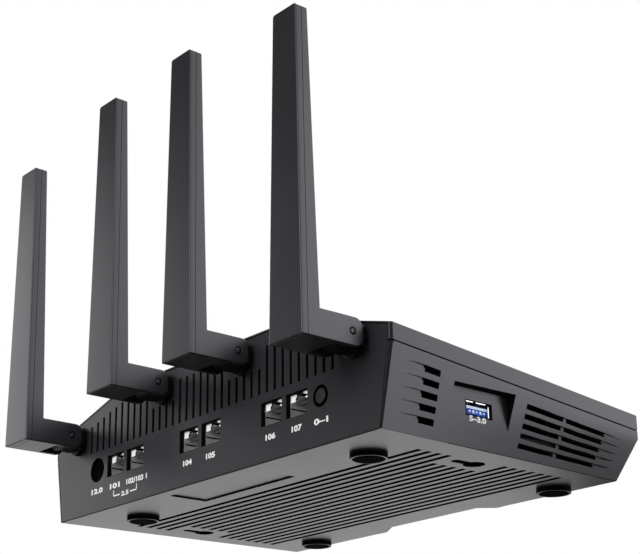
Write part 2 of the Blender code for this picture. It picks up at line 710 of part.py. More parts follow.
def make_rear_panel():
    outline = panel_outline()
    panel = part("rear_panel", shape("rear_panel", add_prism, outline, PANEL_INNER, REAR),
                 charcoal_rear, body)
    combine(panel, tool("comb_vents", many, add_box, list(comb_slots()), parent=body))
    combine(panel, tool("lan_openings", many, add_box, list(lan_openings()), parent=body))
    holes = [(POWER_OPENING, POWER_X, PORT_Z, 36), (RESET_OPENING, RESET_X, PORT_Z, 32)]
    holes += [(NECK_DIAMETER + 2 * GAP, x, z, 36) for _, x, z in ANTENNAS]
    rods = [
        (size, (x, PANEL_INNER - WALL, z), (x, REAR + WALL, z), sides)
        for size, x, z, sides in holes
    ]
    combine(panel, tool("round_openings", many, add_rod, rods, parent=body))


# ---------------------------------------------------------------- feet and screws
def screw_head_top():
    return -BODY_LIFT + PAD_THICKNESS + 2 * GAP + SCREW_HEAD_HEIGHT


def screw_end():
    return screw_head_top() + SCREW_LENGTH


def add_screw(bm, x, y, head_low, head_high, end):
    """Pan head with a plain shank, drawn as one turned outline joined at the shoulder."""
    radii = [(SCREW_HEAD / 2, head_low), (SCREW_HEAD / 2, head_high), (SCREW_SHANK / 2, head_high)]
    radii.append((SCREW_SHANK / 2, end))
    sides = 12
    rings = []
    for radius, z in radii:
        turns = [2 * math.pi * i / sides for i in range(sides)]
        rings.append([(x + radius * math.cos(t), y + radius * math.sin(t), z) for t in turns])
    add_loft(bm, rings)


def make_feet_and_screws():
    pad_low = -BODY_LIFT
    for hand, x, y in FEET:
        mesh = shape(f"foot_pad_{hand}", add_rod, PAD_DIAMETER, (x, y, pad_low),
                     (x, y, pad_low + PAD_THICKNESS), 32)
        part(f"foot_pad_{hand}", mesh, rubber, body, smooth=True)
    head_low = pad_low + PAD_THICKNESS + 2 * GAP
    for number, (_, x, y) in enumerate(FEET, start=1):
        name = f"housing_screw_{number}"
        mesh = shape(name, add_screw, x, y, head_low, screw_head_top(), screw_end())
        part(name, mesh, steel, body)
    head = BOARD_TOP + GAP
    for number, (x, y) in enumerate(board_supports()[0], start=1):
        name = f"board_screw_{number}"
        mesh = shape(name, add_screw, x, y, head + SCREW_HEAD_HEIGHT, head, 2.5 * WALL)
        part(name, mesh, steel, body)


# ---------------------------------------------------------------- board and what it carries
def make_board():
    low = (-BOARD_HALF, BOARD_FRONT, BOARD_UNDER)
    high = (BOARD_HALF, BOARD_REAR, BOARD_TOP)
    board = part("circuit_board", shape("circuit_board", add_box, low, high), board_green, body)
    holes = [
        (SCREW_SHANK + 2 * GAP, (x, y, BOARD_UNDER - WALL), (x, y, BOARD_TOP + WALL), 16)
        for points in board_supports() for x, y in points
    ]
    holes += [
        (POST_DIAMETER + 4 * GAP, (x, y, BOARD_UNDER - WALL), (x, y, BOARD_TOP + WALL), 16)
        for _, x, y in FEET if y > BOARD_FRONT
    ]
    combine(board, tool("board_holes", many, add_rod, holes, parent=body))
    wide = USB_SHELL[0] / 2 + GAP
    notch_low = (-BOARD_HALF - WALL, USB_Y - wide, BOARD_UNDER - WALL)
    notch_high = (-USB_FACE_X + GAP + USB_LENGTH + 2 * GAP, USB_Y + wide, BOARD_TOP + WALL)
    combine(board, tool("usb_notch", add_box, notch_low, notch_high, parent=body))


def make_lan_jacks():
    wide, deep, tall = LAN_JACK
    hole_wide, hole_tall, hole_deep = LAN_SOCKET
    face = PANEL_INNER - GAP
    base = BOARD_TOP + GAP
    for number, x in enumerate(LAN_PORTS, start=1):
        name = f"network_jack_{number}"
        low, high = (x - wide / 2, face - deep, base), (x + wide / 2, face, base + tall)
        jack = part(name, shape(name, add_box, low, high), tin, body)
        low = (x - hole_wide / 2, face - hole_deep, PORT_Z - hole_tall / 2)
        high = (x + hole_wide / 2, face + WALL, PORT_Z + hole_tall / 2)
        combine(jack, tool(f"{name}_socket", add_box, low, high, parent=body))


def make_power_jack():
    wide, deep, tall = POWER_JACK
    face = PANEL_INNER - GAP
    base = BOARD_TOP + GAP
    low, high = (POWER_X - wide / 2, face - deep, base), (POWER_X + wide / 2, face, base + tall)
    jack = part("power_jack", shape("power_jack", add_box, low, high), dark_plastic, body)
    end = face - POWER_SOCKET_DEPTH
    start = (POWER_X, face + WALL, PORT_Z)
    combine(jack, tool("power_socket", add_rod, POWER_SOCKET, start, (POWER_X, end, PORT_Z),
                       parent=body))
    pin = shape("power_pin", add_rod, POWER_PIN, (POWER_X, end + GAP, PORT_Z),
                (POWER_X, face - WALL, PORT_Z), 16)
    part("power_pin", pin, steel, body, smooth=True)


def make_usb_socket():
    wide, tall = USB_SHELL
    mouth = -USB_FACE_X + GAP
    low = (mouth, USB_Y - wide / 2, USB_Z - tall / 2)
    high = (mouth + USB_LENGTH, USB_Y + wide / 2, USB_Z + tall / 2)
    shell = part("usb_shell", shape("usb_shell", add_box, low, high), steel, body)
    inner_low = (mouth - WALL, low[1] + SHEET, low[2] + SHEET)
    inner_high = (high[0] + WALL, high[1] - SHEET, high[2] - SHEET)
    combine(shell, tool("usb_hollow", add_box, inner_low, inner_high, parent=body))

    half = wide / 2 - SHEET - GAP
    top = USB_Z + tall / 2 - SHEET - GAP
    bottom = USB_Z - tall / 2 + SHEET + GAP
    tongue_low = top - 1.9 * mm
    back = mouth + USB_LENGTH
    outline = [
        (mouth + 0.8 * mm, tongue_low), (back - 4 * mm, tongue_low), (back - 4 * mm, bottom),
        (back, bottom), (back, top), (mouth + 0.8 * mm, top),
    ]
    part("usb_insert", shape("usb_insert", add_prism, outline, USB_Y - half, USB_Y + half),
         usb_blue, body)


def make_reset():
    """Button with a flange behind the panel, and the switch that it presses."""
    stations = [
        (REAR + RESET_PROUD, RESET_DIAMETER),
        (PANEL_INNER - GAP, RESET_DIAMETER),
        (PANEL_INNER - GAP, RESET_OPENING + 1.6 * mm),
        (PANEL_INNER - GAP - 1.2 * mm, RESET_OPENING + 1.6 * mm),
        (PANEL_INNER - GAP - 1.2 * mm, RESET_DIAMETER / 2),
        (PANEL_INNER - 5 * mm, RESET_DIAMETER / 2),
    ]
    sides = 32
    rings = []
    for y, size in stations:
        turns = [2 * math.pi * i / sides for i in range(sides)]
        rings.append([(size / 2 * math.sin(t), y - REAR, size / 2 * math.cos(t)) for t in turns])
    slide = frame("reset_slide", (RESET_X, REAR, PORT_Z), body)
    part("reset_button", shape("reset_button", add_loft, rings), charcoal_rear, slide, smooth=True)
    plunger = PANEL_INNER - 5 * mm - RESET_TRAVEL - GAP
    half = 3.4 * mm

    def add_switch(bm):
        low = (RESET_X - half, plunger - 7 * mm, BOARD_TOP + GAP)
        add_box(bm, low, (RESET_X + half, plunger - 1.5 * mm, PORT_Z + half))

    switch = part("reset_switch", shape("reset_switch", add_switch), chip_black, body)
    nose = tool("switch_nose", add_rod, 3 * mm, (RESET_X, plunger - 3 * mm, PORT_Z),
                (RESET_X, plunger, PORT_Z), 16, parent=body)
    combine(switch, nose, "UNION")


def make_processor_and_sink():
    size, thick = PROCESSOR
    base = BOARD_TOP + GAP
    low = (-size / 2, PROCESSOR_Y - size / 2, base)
    high = (size / 2, PROCESSOR_Y + size / 2, base + thick)
    part("processor", shape("processor", add_box, low, high), chip_black, body)

    wide, deep = SINK_SIZE
    floor = base + thick + GAP
    top = floor + SINK_BASE
    pitch = (wide - SINK_FIN) / (SINK_FINS - 1)
    outline = [(wide / 2, floor), (-wide / 2, floor)]
    for i in range(SINK_FINS):
        x = -wide / 2 + pitch * i
        outline += [(x, top + SINK_FIN_HEIGHT), (x + SINK_FIN, top + SINK_FIN_HEIGHT)]
        if i < SINK_FINS - 1:
            outline += [(x + SINK_FIN, top), (x + pitch, top)]
    part("heat_sink", shape("heat_sink", add_prism, outline, PROCESSOR_Y - deep / 2,
                            PROCESSOR_Y + deep / 2), aluminium, body)

    wide, deep, tall = SHIELD_SIZE
    for name, x in (("radio_shield_1", SHIELD_X), ("radio_shield_2", -SHIELD_X)):
        low = (x - wide / 2, PROCESSOR_Y - deep / 2, base)
        high = (x + wide / 2, PROCESSOR_Y + deep / 2, base + tall)
        can = part(name, shape(name, add_box, low, high), tin, body)
        sheet = Vector((SHEET, SHEET, SHEET))
        inner = tool(f"{name}_hollow", add_box, Vector(low) + sheet - Vector((0, 0, WALL)),
                     Vector(high) - sheet, parent=body)
        combine(can, inner)


def make_light_guide():
    """Bar with one prong to each window and one leg to each lamp on the board."""
    bar_low = BOARD_TOP + GUIDE_LIFT
    bar_high = bar_low + WALL
    first = -(INDICATORS - 1) / 2 * INDICATOR_PITCH
    half = INDICATOR_WINDOW[0] / 2
    bar = ((first - half, INDICATOR_Y - half, bar_low), (-first + half, BOARD_FRONT + half, bar_high))
    guide = part("light_guide", shape("light_guide", add_box, *bar), clear_guide, body)
    top = roof_surface(0, INDICATOR_Y - INDICATOR_WINDOW[1] / 2) - GAP / 2
    prongs = list(indicator_windows(0.0, bar_low + GAP, top))
    combine(guide, tool("guide_prongs", many, add_box, prongs, parent=body), "UNION")
    legs = []
    for i in range(INDICATORS):
        x = first + INDICATOR_PITCH * i
        y = BOARD_FRONT + half - WALL
        legs.append(((x - WALL / 2, y, BOARD_TOP + GAP), (x + WALL / 2, y + 0.9 * WALL, bar_high - GAP)))
    combine(guide, tool("guide_legs", many, add_box, legs, parent=body), "UNION")


# ---------------------------------------------------------------- antennas
BLADE_LOW = -ARM_HEIGHT / 2
BLADE_TOP = BLADE_LOW + BLADE_HEIGHT
SEAM_Y = BLADE_BACK - SEAM_DEPTH


def blade_half(z):
    return blend(BLADE_WIDTH, BLADE_TOP_WIDTH, (z - BLADE_LOW) / BLADE_HEIGHT) / 2


def blade_front(z):
    share = (z - BLADE_LOW) / BLADE_HEIGHT
    return BLADE_BACK - blend(BLADE_DEPTH, BLADE_TOP_DEPTH, share)


def blade_ring(z, back, front=None, inset=0.0):
    half = blade_half(z) - inset
    near = blade_front(z) + inset if front is None else front
    return [(half, near, z), (half, back, z), (-half, back, z), (-half, near, z)]


def add_blade(bm, back, inset=0.0, front=None, low=BLADE_LOW, high=BLADE_TOP):
    """The tapered upright blade, or its hollow, between two heights."""
    add_loft(bm, [blade_ring(z, back, front, inset) for z in (low, high)])


def arm_outline():
    """Side view of the arm, (y, z): a bar with rounded corners at its hinge end."""
    half = ARM_HEIGHT / 2
    join = blade_front(half) + WALL
    outline = [(join, half)]
    for centre_z, start in ((half - ARM_CORNER, 90), (-half + ARM_CORNER, 180)):
        for i in range(6):
            turn = math.radians(start + 90 * i / 5)
            y = -ARM_END + ARM_CORNER + ARM_CORNER * math.cos(turn)
            outline.append((y, centre_z + ARM_CORNER * math.sin(turn)))
    return outline + [(join, -half)]


def antenna_shell_mesh():
    """Front shell: the blade's front half in one piece with the arm and its two cheeks."""
    shell = part("antenna_shell", shape("antenna_shell", add_blade, SEAM_Y - GAP / 2),
                 antenna_plastic, None)
    half = BLADE_WIDTH / 2
    arm = tool("arm", add_prism, arm_outline(), -half, half, "X")
    combine(shell, arm, "UNION")
    inner_low = BLADE_LOW + SHELL_WALL
    blade_hollow = tool("blade_hollow", add_blade, BLADE_BACK, SHELL_WALL, None, inner_low,
                        BLADE_TOP - SHELL_WALL)
    combine(shell, blade_hollow)
    width = half - CHEEK
    arm_low = (-width, 0, inner_low)
    arm_high = (width, BLADE_BACK - SEAM_DEPTH - GAP, ARM_HEIGHT / 2 - SHELL_WALL)
    combine(shell, tool("arm_hollow", add_box, arm_low, arm_high))
    fork_y = BARREL_DIAMETER / 2 + GAP
    fork_low = (-width, -ARM_END - WALL, -ARM_HEIGHT)
    combine(shell, tool("fork_gap", add_box, fork_low, (width, fork_y, ARM_HEIGHT)))
    under_low = (-width, -ARM_END, -ARM_HEIGHT)
    combine(shell, tool("under_opening", add_box, under_low, (width, UNDER_OPENING, 0)))
    reach = half + WALL
    combine(shell, tool("pin_bore", add_rod, PIN_DIAMETER + 2 * GAP, (-reach, 0, 0), (reach, 0, 0), 20))
    return baked(shell)


def antenna_back_mesh():
    """Back shell: a shallow tapered lid with two ribs that hold the strip."""
    lid = part("antenna_back", shape("antenna_back", add_blade, BLADE_BACK, 0.0, SEAM_Y + GAP / 2),
               antenna_plastic, None)
    low, high = BLADE_LOW + SHELL_WALL, BLADE_TOP - SHELL_WALL
    back = BLADE_BACK - SHELL_WALL
    hollow = tool("lid_hollow", add_blade, back, SHELL_WALL, SEAM_Y - WALL, low, high)
    combine(lid, hollow)
    ribs = []
    for share in (0.3, 0.8):
        z = blend(low, high, share)
        half = blade_half(z) - 2 * SHELL_WALL
        ribs.append(((-half, SEAM_Y - GAP, z - 1 * mm), (half, back + GAP, z + 1 * mm)))
    combine(lid, tool("lid_ribs", many, add_box, ribs), "UNION")
    return baked(lid)


def knuckle_mesh():
    """Neck through the panel, collar against it, and the barrel that the arm tilts on."""
    half = BLADE_WIDTH / 2 - CHEEK - GAP
    panel_y = -AXIS_REACH
    collar_low = panel_y + GAP

    def add_body(bm):
        web = KNUCKLE_WEB / 2
        add_box(bm, (-half, collar_low + COLLAR_THICKNESS / 2, -web), (half, 0, web))

    block = part("knuckle", shape("knuckle", add_body), dark_plastic, None)
    combine(block, tool("barrel", add_rod, BARREL_DIAMETER, (-half, 0, 0), (half, 0, 0), 28), "UNION")
    collar = ((0, collar_low, 0), (0, collar_low + COLLAR_THICKNESS, 0))
    combine(block, tool("collar", add_rod, COLLAR_DIAMETER, *collar, 28), "UNION")
    neck_end = panel_y - NECK_LENGTH
    neck = ((0, neck_end, 0), (0, collar_low + COLLAR_THICKNESS / 2, 0))
    combine(block, tool("neck", add_rod, NECK_DIAMETER, *neck, 28), "UNION")
    combine(block, tool("neck_bore", add_rod, LEAD_BORE, (0, neck_end - WALL, 0), (0, -4 * mm, 0), 16))
    combine(block, tool("knuckle_pin_bore", add_rod, PIN_DIAMETER + 2 * GAP,
                        (-2 * half, 0, 0), (2 * half, 0, 0), 20))

    def add_groove(bm):
        rings = []
        high = panel_y - WALL + 0.1 * mm
        low = high - CLIP_THICKNESS - GAP * 2
        outer, inner = NECK_DIAMETER, NECK_DIAMETER / 2 - NECK_GROOVE
        for y in (low, high):
            for radius in (inner, outer):
                turns = [2 * math.pi * i / 28 for i in range(28)]
                rings.append([(radius * math.sin(t), y, radius * math.cos(t)) for t in turns])
        order = [rings[0], rings[1], rings[3], rings[2]]
        loops = [[bm.verts.new(p) for p in ring] for ring in order]
        for a, b in zip(loops, loops[1:] + loops[:1]):
            for i in range(28):
                j = (i + 1) % 28
                bm.faces.new((a[i], a[j], b[j], b[i]))

    combine(block, tool("neck_groove", add_groove))
    return baked(block)


def clip_mesh():
    """Open spring ring that sits in the neck's groove behind the panel."""
    high = -AXIS_REACH - WALL - GAP
    ring = part("swivel_clip", shape("swivel_clip", add_rod, CLIP_DIAMETER,
                                     (0, high - CLIP_THICKNESS, 0), (0, high, 0), 32), steel, None)
    bore = NECK_DIAMETER - 2 * NECK_GROOVE + 2 * GAP
    combine(ring, tool("clip_bore", add_rod, bore, (0, high - 2 * CLIP_THICKNESS, 0), (0, 0, 0), 32))
    mouth = bore * 0.42
    combine(ring, tool("clip_mouth", add_box, (-mouth, high - 2 * CLIP_THICKNESS, -CLIP_DIAMETER),
                       (mouth, high + WALL, 0)))
    return baked(ring)


def make_antennas():
    shell_mesh = antenna_shell_mesh()
    back_mesh = antenna_back_mesh()
    knuckle = knuckle_mesh()
    clip = clip_mesh()
    reach = BLADE_WIDTH / 2 - GAP / 2
    pin_mesh = shape("hinge_pin", add_rod, PIN_DIAMETER, (-reach, 0, 0), (reach, 0, 0), 16)
    strip_half = BLADE_TOP_WIDTH / 2 - SHELL_WALL - 2 * GAP
    strip_back = SEAM_Y - 2 * GAP
    strip_low = (-strip_half, strip_back - 0.8 * mm, BLADE_LOW + SHELL_WALL + GAP)
    strip_high = (strip_half, strip_back, BLADE_TOP - SHELL_WALL - GAP)
    strip_mesh = shape("antenna_strip", add_box, strip_low, strip_high)
    for number, x, z in ANTENNAS:
        swivel = frame(f"swivel_axis_{number}", (x, AXIS_Y, z), body)
        tilt = frame(f"tilt_axis_{number}", (0, 0, 0), swivel)
        part(f"antenna_{number}_knuckle", knuckle, dark_plastic, swivel)
        part(f"antenna_{number}_clip", clip, steel, swivel)
        part(f"antenna_{number}_shell", shell_mesh, antenna_plastic, tilt)
        part(f"antenna_{number}_back", back_mesh, antenna_plastic, tilt)
        part(f"antenna_{number}_pin", pin_mesh, steel, tilt)
        part(f"antenna_{number}_strip", strip_mesh, copper_strip, tilt)


def make_leads():
    """Thin coaxial lead from each neck, where it lies on the swivel's axis, down to the board."""
    neck_end = REAR - NECK_LENGTH
    start_y, end_y = neck_end + 3 * mm, neck_end - LEAD_REACH
    floor = BOARD_TOP + GAP + LEAD_DIAMETER / 2
    steps = 14
    for number, x, z in ANTENNAS:
        curve = bpy.data.curves.new(f"antenna_lead_{number}", "CURVE")
        curve.dimensions = "3D"
        curve.bevel_depth = LEAD_DIAMETER / 2
        curve.bevel_resolution = 2
        curve.use_fill_caps = True
        curve.materials.append(lead_grey)
        route = curve.splines.new("POLY")
        route.points.add(steps)
        for i in range(steps + 1):
            share = i / steps
            ease = 0.5 - 0.5 * math.cos(math.pi * max(0.0, (share - 0.12) / 0.88))
            route.points[i].co = (x, blend(start_y, end_y, share), blend(z, floor, ease), 1.0)
        lead = bpy.data.objects.new(f"antenna_lead_{number}", curve)
        lead.parent = body
        parts.objects.link(lead)


make_lower_housing()
make_top_cover()
make_rear_panel()
make_feet_and_screws()
make_board()
make_lan_jacks()
make_power_jack()
make_usb_socket()
make_reset()
make_processor_and_sink()
make_light_guide()
make_antennas()
make_leads()
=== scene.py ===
# %% [markdown]
# # Wireless router with four folding antennas
# The exact solids of this router come first, as a fixed frame: every case part, hinge and
# socket is already at its true size and place. This lesson gives each one its finish, and
# remodels those whose edges and small details show. One unit is one metre, so `mm` turns
# millimetres into Blender's units.

# %% Load the frame
import json
import math

import bmesh
import bpy
from mathutils import Matrix, Vector
from mathutils.bvhtree import BVHTree

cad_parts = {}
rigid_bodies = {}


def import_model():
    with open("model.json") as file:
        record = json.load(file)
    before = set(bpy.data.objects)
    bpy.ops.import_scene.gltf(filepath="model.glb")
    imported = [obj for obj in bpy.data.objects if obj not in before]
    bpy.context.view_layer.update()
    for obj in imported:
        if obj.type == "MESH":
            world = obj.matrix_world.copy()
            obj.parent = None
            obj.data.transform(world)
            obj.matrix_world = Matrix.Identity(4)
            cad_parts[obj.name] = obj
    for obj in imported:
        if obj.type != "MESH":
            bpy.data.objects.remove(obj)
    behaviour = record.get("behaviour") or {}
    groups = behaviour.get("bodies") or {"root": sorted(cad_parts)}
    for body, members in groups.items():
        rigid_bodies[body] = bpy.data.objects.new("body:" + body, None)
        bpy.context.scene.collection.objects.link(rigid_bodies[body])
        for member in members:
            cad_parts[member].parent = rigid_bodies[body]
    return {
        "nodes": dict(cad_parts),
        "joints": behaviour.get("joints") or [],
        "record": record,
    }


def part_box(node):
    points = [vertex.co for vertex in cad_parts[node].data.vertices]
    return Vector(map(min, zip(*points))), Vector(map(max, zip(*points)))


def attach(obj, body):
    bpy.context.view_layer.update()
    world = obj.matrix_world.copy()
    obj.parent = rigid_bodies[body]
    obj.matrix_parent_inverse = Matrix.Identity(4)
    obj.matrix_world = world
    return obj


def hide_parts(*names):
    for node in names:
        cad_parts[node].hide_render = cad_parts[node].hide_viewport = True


for leftover in list(bpy.data.objects):
    bpy.data.objects.remove(leftover)

mm = 0.001
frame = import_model()
nodes = frame["nodes"]
scene = bpy.context.scene
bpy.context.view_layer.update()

# %% [markdown]
# ## The camera
# The router hangs slightly above the eye, so its vented underside, the socket panel and one
# leaning side all show at once. A long lens keeps the upright antennas nearly parallel. The
# shift slides the picture without turning the camera, as a view camera's rising back does.

# %% Place the camera
lens = bpy.data.cameras.new("camera")
lens.sensor_width = 36.0
lens.lens = 86.28
lens.shift_x = 0.02155
lens.shift_y = 0.09306
lens.clip_start = 10 * mm
lens.clip_end = 20.0
camera = bpy.data.objects.new("camera", lens)
camera.location = Vector((-501.4, 410.7, -135.1)) * mm
camera.rotation_euler = [math.radians(angle) for angle in (107.951, 0.473, -129.499)]
scene.collection.objects.link(camera)
scene.camera = camera
scene.view_settings.view_transform = "Standard"
print("camera", [round(place, 3) for place in camera.location], "lens", lens.lens, "mm")

# %% [markdown]
# ## Building node trees
# Every finish below is a small network of shader nodes. A few helpers keep the networks
# short to write. An input is given either as a plain value or as a pair, the node and the
# output that a wire comes from.

# %% Node helpers
WHITE = (1.0, 1.0, 1.0, 1.0)


def feed(tree, node, inputs):
    """Fill in a node's inputs by name or number, each with a value or a (node, output) pair."""
    for name, value in inputs.items():
        if isinstance(value, tuple) and isinstance(value[0], bpy.types.Node):
            tree.links.new(value[0].outputs[value[1]], node.inputs[name])
        else:
            node.inputs[name].default_value = value
    return node


def add(tree, kind, inputs=None, **attributes):
    """A new node of a kind, such as TexNoise, with some attributes and inputs set."""
    node = tree.nodes.new("ShaderNode" + kind)
    for name, value in attributes.items():
        setattr(node, name, value)
    return feed(tree, node, inputs or {})


def calc(tree, operation, *terms, **attributes):
    """A Math node of numbers and (node, output) pairs."""
    return add(tree, "Math", dict(enumerate(terms)), operation=operation, **attributes)


def new_material(name, empty=False):
    """A new material, its tree and its shader; an empty one starts without any node."""
    material = bpy.data.materials.new(name)
    material.use_nodes = True
    if empty:
        material.node_tree.nodes.clear()
    return material, material.node_tree, material.node_tree.nodes.get("Principled BSDF")


print("helpers ready")

# %% [markdown]
# ## Background
# The background is plain white to the camera. Light Path tells it who is asking: the camera,
# mirrors and clear plastic see white at strength 1, and the soft light that falls on the
# router is set apart from that, so more white behind never means more light on the plastic.

# %% Make the background
AMBIENT_LOW = (0.11, 0.11, 0.115, 1.0)
AMBIENT_HIGH = (0.05, 0.05, 0.055, 1.0)
world = bpy.data.worlds.new("studio")
scene.world = world
world.use_nodes = True
sky = world.node_tree
sky.nodes.clear()
split = add(sky, "SeparateXYZ", {0: (add(sky, "TexCoord"), "Generated")})
ramp = add(sky, "MapRange", {"Value": (split, "Z"), "From Min": -0.25, "From Max": 0.35},
           clamp=True)
soft = add(sky, "Mix", {"Factor": (ramp, "Result"), "A": AMBIENT_LOW, "B": AMBIENT_HIGH},
           data_type="RGBA")
ambient = add(sky, "Background", {"Color": (soft, "Result")})
white = add(sky, "Background", {"Color": WHITE, "Strength": 1.0})
path = add(sky, "LightPath")
first = calc(sky, "MAXIMUM", (path, "Is Camera Ray"), (path, "Is Glossy Ray"))
direct = calc(sky, "MAXIMUM", (first, 0), (path, "Is Transmission Ray"))
choose = add(sky, "MixShader", {"Fac": (direct, 0), 1: (ambient, 0), 2: (white, 0)})
add(sky, "OutputWorld", {"Surface": (choose, 0)})
print("background with", len(sky.nodes), "nodes")

# %% [markdown]
# ## Floor
# The floor is a pale sheet that catches the router's shadow. It is seen from above only, so
# that a camera below it can look up at the router's feet, and it fades out with distance into
# the white background. The sheet is a grid of one cell, as the flags below are too.

# %% Make the floor
def stored(bm, name):
    """The mesh that a bmesh makes, with the bmesh used up."""
    mesh = bpy.data.meshes.new(name)
    bm.to_mesh(mesh)
    bm.free()
    return mesh


def flat_card(name, width, depth, material):
    """A new object, flat in the XY plane, that belongs to the studio."""
    bm = bmesh.new()
    bmesh.ops.create_grid(bm, x_segments=1, y_segments=1, size=0.5)
    bmesh.ops.scale(bm, vec=(width, depth, 1.0), verts=bm.verts)
    card = bpy.data.objects.new(name, stored(bm, name))
    card.data.materials.append(material)
    scene.collection.objects.link(card)
    return card


FLOOR_SIDE = 3.0
FADE_START, FADE_END = 0.45, 1.1
pale, tree, _ = new_material("pale_floor", empty=True)
paper = add(tree, "BsdfDiffuse", {"Color": (0.75, 0.75, 0.76, 1.0)})
glow = add(tree, "Emission", {"Color": WHITE, "Strength": 0.45})
sheet = add(tree, "AddShader", {0: (paper, 0), 1: (glow, 0)})
path = add(tree, "LightPath")
side = add(tree, "NewGeometry")
front = calc(tree, "SUBTRACT", (path, "Is Camera Ray"), (side, "Backfacing"), use_clamp=True)
reach = add(tree, "VectorMath", {0: (add(tree, "TexCoord"), "Object")}, operation="LENGTH")
fade = add(tree, "MapRange",
           {"Value": (reach, "Value"), "From Min": FADE_START, "From Max": FADE_END,
            "To Min": 1.0, "To Max": 0.0}, clamp=True)
near_front = calc(tree, "MULTIPLY", (front, 0), (fade, "Result"))
mix = add(tree, "MixShader",
          {"Fac": (near_front, 0), 1: (add(tree, "BsdfTransparent"), 0), 2: (sheet, 0)})
add(tree, "OutputMaterial", {"Surface": (mix, 0)})
flat_card("floor", FLOOR_SIDE, FLOOR_SIDE, pale)
print("floor", FLOOR_SIDE, "m square")

# %% [markdown]
# ## Studio light
# Dark plastic is mostly drawn by what it mirrors. Five soft boxes light the router: a key on
# the side of the USB socket, a fill behind, a narrow one that grazes the antennas' edges,
# one over the roof, and one for the far side. Three black flags (cards that the camera
# doesn't see) keep the white room out of the reflections: one behind, one as wide as a table
# below, and a smaller one low in front.

# %% Lamps and flags
def soft_box(name, place, aim, size, strength):
    """A rectangular area lamp that looks at a point."""
    light = bpy.data.lights.new(name, "AREA")
    light.shape = "RECTANGLE"
    light.size, light.size_y = size
    light.energy = strength
    lamp = bpy.data.objects.new(name, light)
    lamp.location = place
    lamp.rotation_euler = (Vector(aim) - Vector(place)).to_track_quat("-Z", "Y").to_euler()
    scene.collection.objects.link(lamp)


def polar(azimuth, height, distance):
    """A point round the router: 0 degrees is straight behind (+Y) and 90 is +X."""
    turn, rise = math.radians(azimuth), math.radians(height)
    return Vector((math.sin(turn) * math.cos(rise), math.cos(turn) * math.cos(rise),
                   math.sin(rise))) * distance


HEART = Vector((0.0, 0.0, 60 * mm))
lamps = (
    ("key", (-139, 12, 1.3), (1.1, 1.1), 6.8),
    ("rear_fill", (-12, 14, 1.3), (1.0, 0.7), 9.0),
    ("edge_light", (71.5, 10.5, 1.3), (0.45, 0.72), 3.9),
    ("roof_light", (160, 62, 1.3), (1.0, 0.8), 14.0),
    ("far_side", (112, 12, 1.4), (0.6, 0.6), 9.0),
)
for name, place, size, strength in lamps:
    soft_box(name, HEART + polar(*place), HEART, size, strength)
print(len(lamps), "lamps")

black, tree, _ = new_material("flag_black", empty=True)
dark = add(tree, "Emission", {"Strength": 0.0})
add(tree, "OutputMaterial", {"Surface": (dark, 0)})


def flag(name, place, size, shift=Vector()):
    """A black card, seen only in reflections."""
    card = flat_card(name, *size, black)
    card.location = HEART + polar(*place) + shift
    card.rotation_euler = (HEART - card.location).to_track_quat("Z", "Y").to_euler()
    card.visible_camera = False
    card.visible_diffuse = False
    card.visible_shadow = False
    card.visible_transmission = False


flag("flag_rear", (30, 20, 1.6), (3.2, 2.4))
flag("dark_table", (0, -90, 0.78), (2.7, 3.2), polar(0, 0, 0.19) + polar(90, 0, -0.05))
flag("low_card", (162.3, -16.5, 1.6), (1.07, 0.7))
print("flags placed")

# %% [markdown]
# ## Shared surface effects
# Each effect that several plastics share is a node group with named inputs, so one network
# serves every plastic, with its own numbers in each. The groups give out colours, heights and
# roughness only, and the shaders stay in the materials.

# %% Group helper
def new_group(name, inputs, outputs):
    """An empty node group; inputs are (name, type, default)."""
    tree = bpy.data.node_groups.new(name, "ShaderNodeTree")
    for title, kind, default in inputs:
        socket = tree.interface.new_socket(title, in_out="INPUT", socket_type=kind)
        socket.default_value = default
    for title, kind in outputs:
        tree.interface.new_socket(title, in_out="OUTPUT", socket_type=kind)
    return tree, tree.nodes.new("NodeGroupInput"), tree.nodes.new("NodeGroupOutput")


COLOUR, NUMBER = "NodeSocketColor", "NodeSocketFloat"
print("group helper ready")

# %% [markdown]
# Moulded plastic is never quite even: the tool leaves a fine satin grain, and the colour and
# the gloss drift a little over a few centimetres. One broad noise serves for both drifts, and
# a fine one gives the height of the grain.

# %% Group: moulded surface
moulded, given, result = new_group(
    "moulded_surface",
    [("Colour", COLOUR, (0.05, 0.05, 0.05, 1.0)), ("Drift", NUMBER, 0.1),
     ("Roughness", NUMBER, 0.35), ("Spread", NUMBER, 0.06), ("Grain Size", NUMBER, 0.4 * mm)],
    [("Colour", COLOUR), ("Roughness", NUMBER), ("Height", NUMBER)],
)
place = add(moulded, "TexCoord")
clouds = add(moulded, "TexNoise", {"Vector": (place, "Object"), "Scale": 38.0, "Detail": 3.0})
centred = calc(moulded, "SUBTRACT", (clouds, "Fac"), 0.5)
drift = calc(moulded, "MULTIPLY", (centred, 0), (given, "Drift"))
brightness = calc(moulded, "ADD", (drift, 0), 1.0)
tint = add(moulded, "VectorMath", {0: (given, "Colour"), "Scale": (brightness, 0)},
           operation="SCALE")
density = calc(moulded, "DIVIDE", 1.0, (given, "Grain Size"))
grain = add(moulded, "TexNoise",
            {"Vector": (place, "Object"), "Scale": (density, 0), "Detail": 2.0})
uneven = calc(moulded, "MULTIPLY_ADD", (centred, 0), (given, "Spread"), (given, "Roughness"))
feed(moulded, result, {"Colour": (tint, 0), "Height": (grain, "Fac"), "Roughness": (uneven, 0)})
print("group", moulded.name, "with", len(moulded.nodes), "nodes")

# %% [markdown]
# Dust settles on what faces up, in patches. So the share of dust is the upward slope of the
# surface times a speckled noise, and it pales the colour and dulls the gloss.

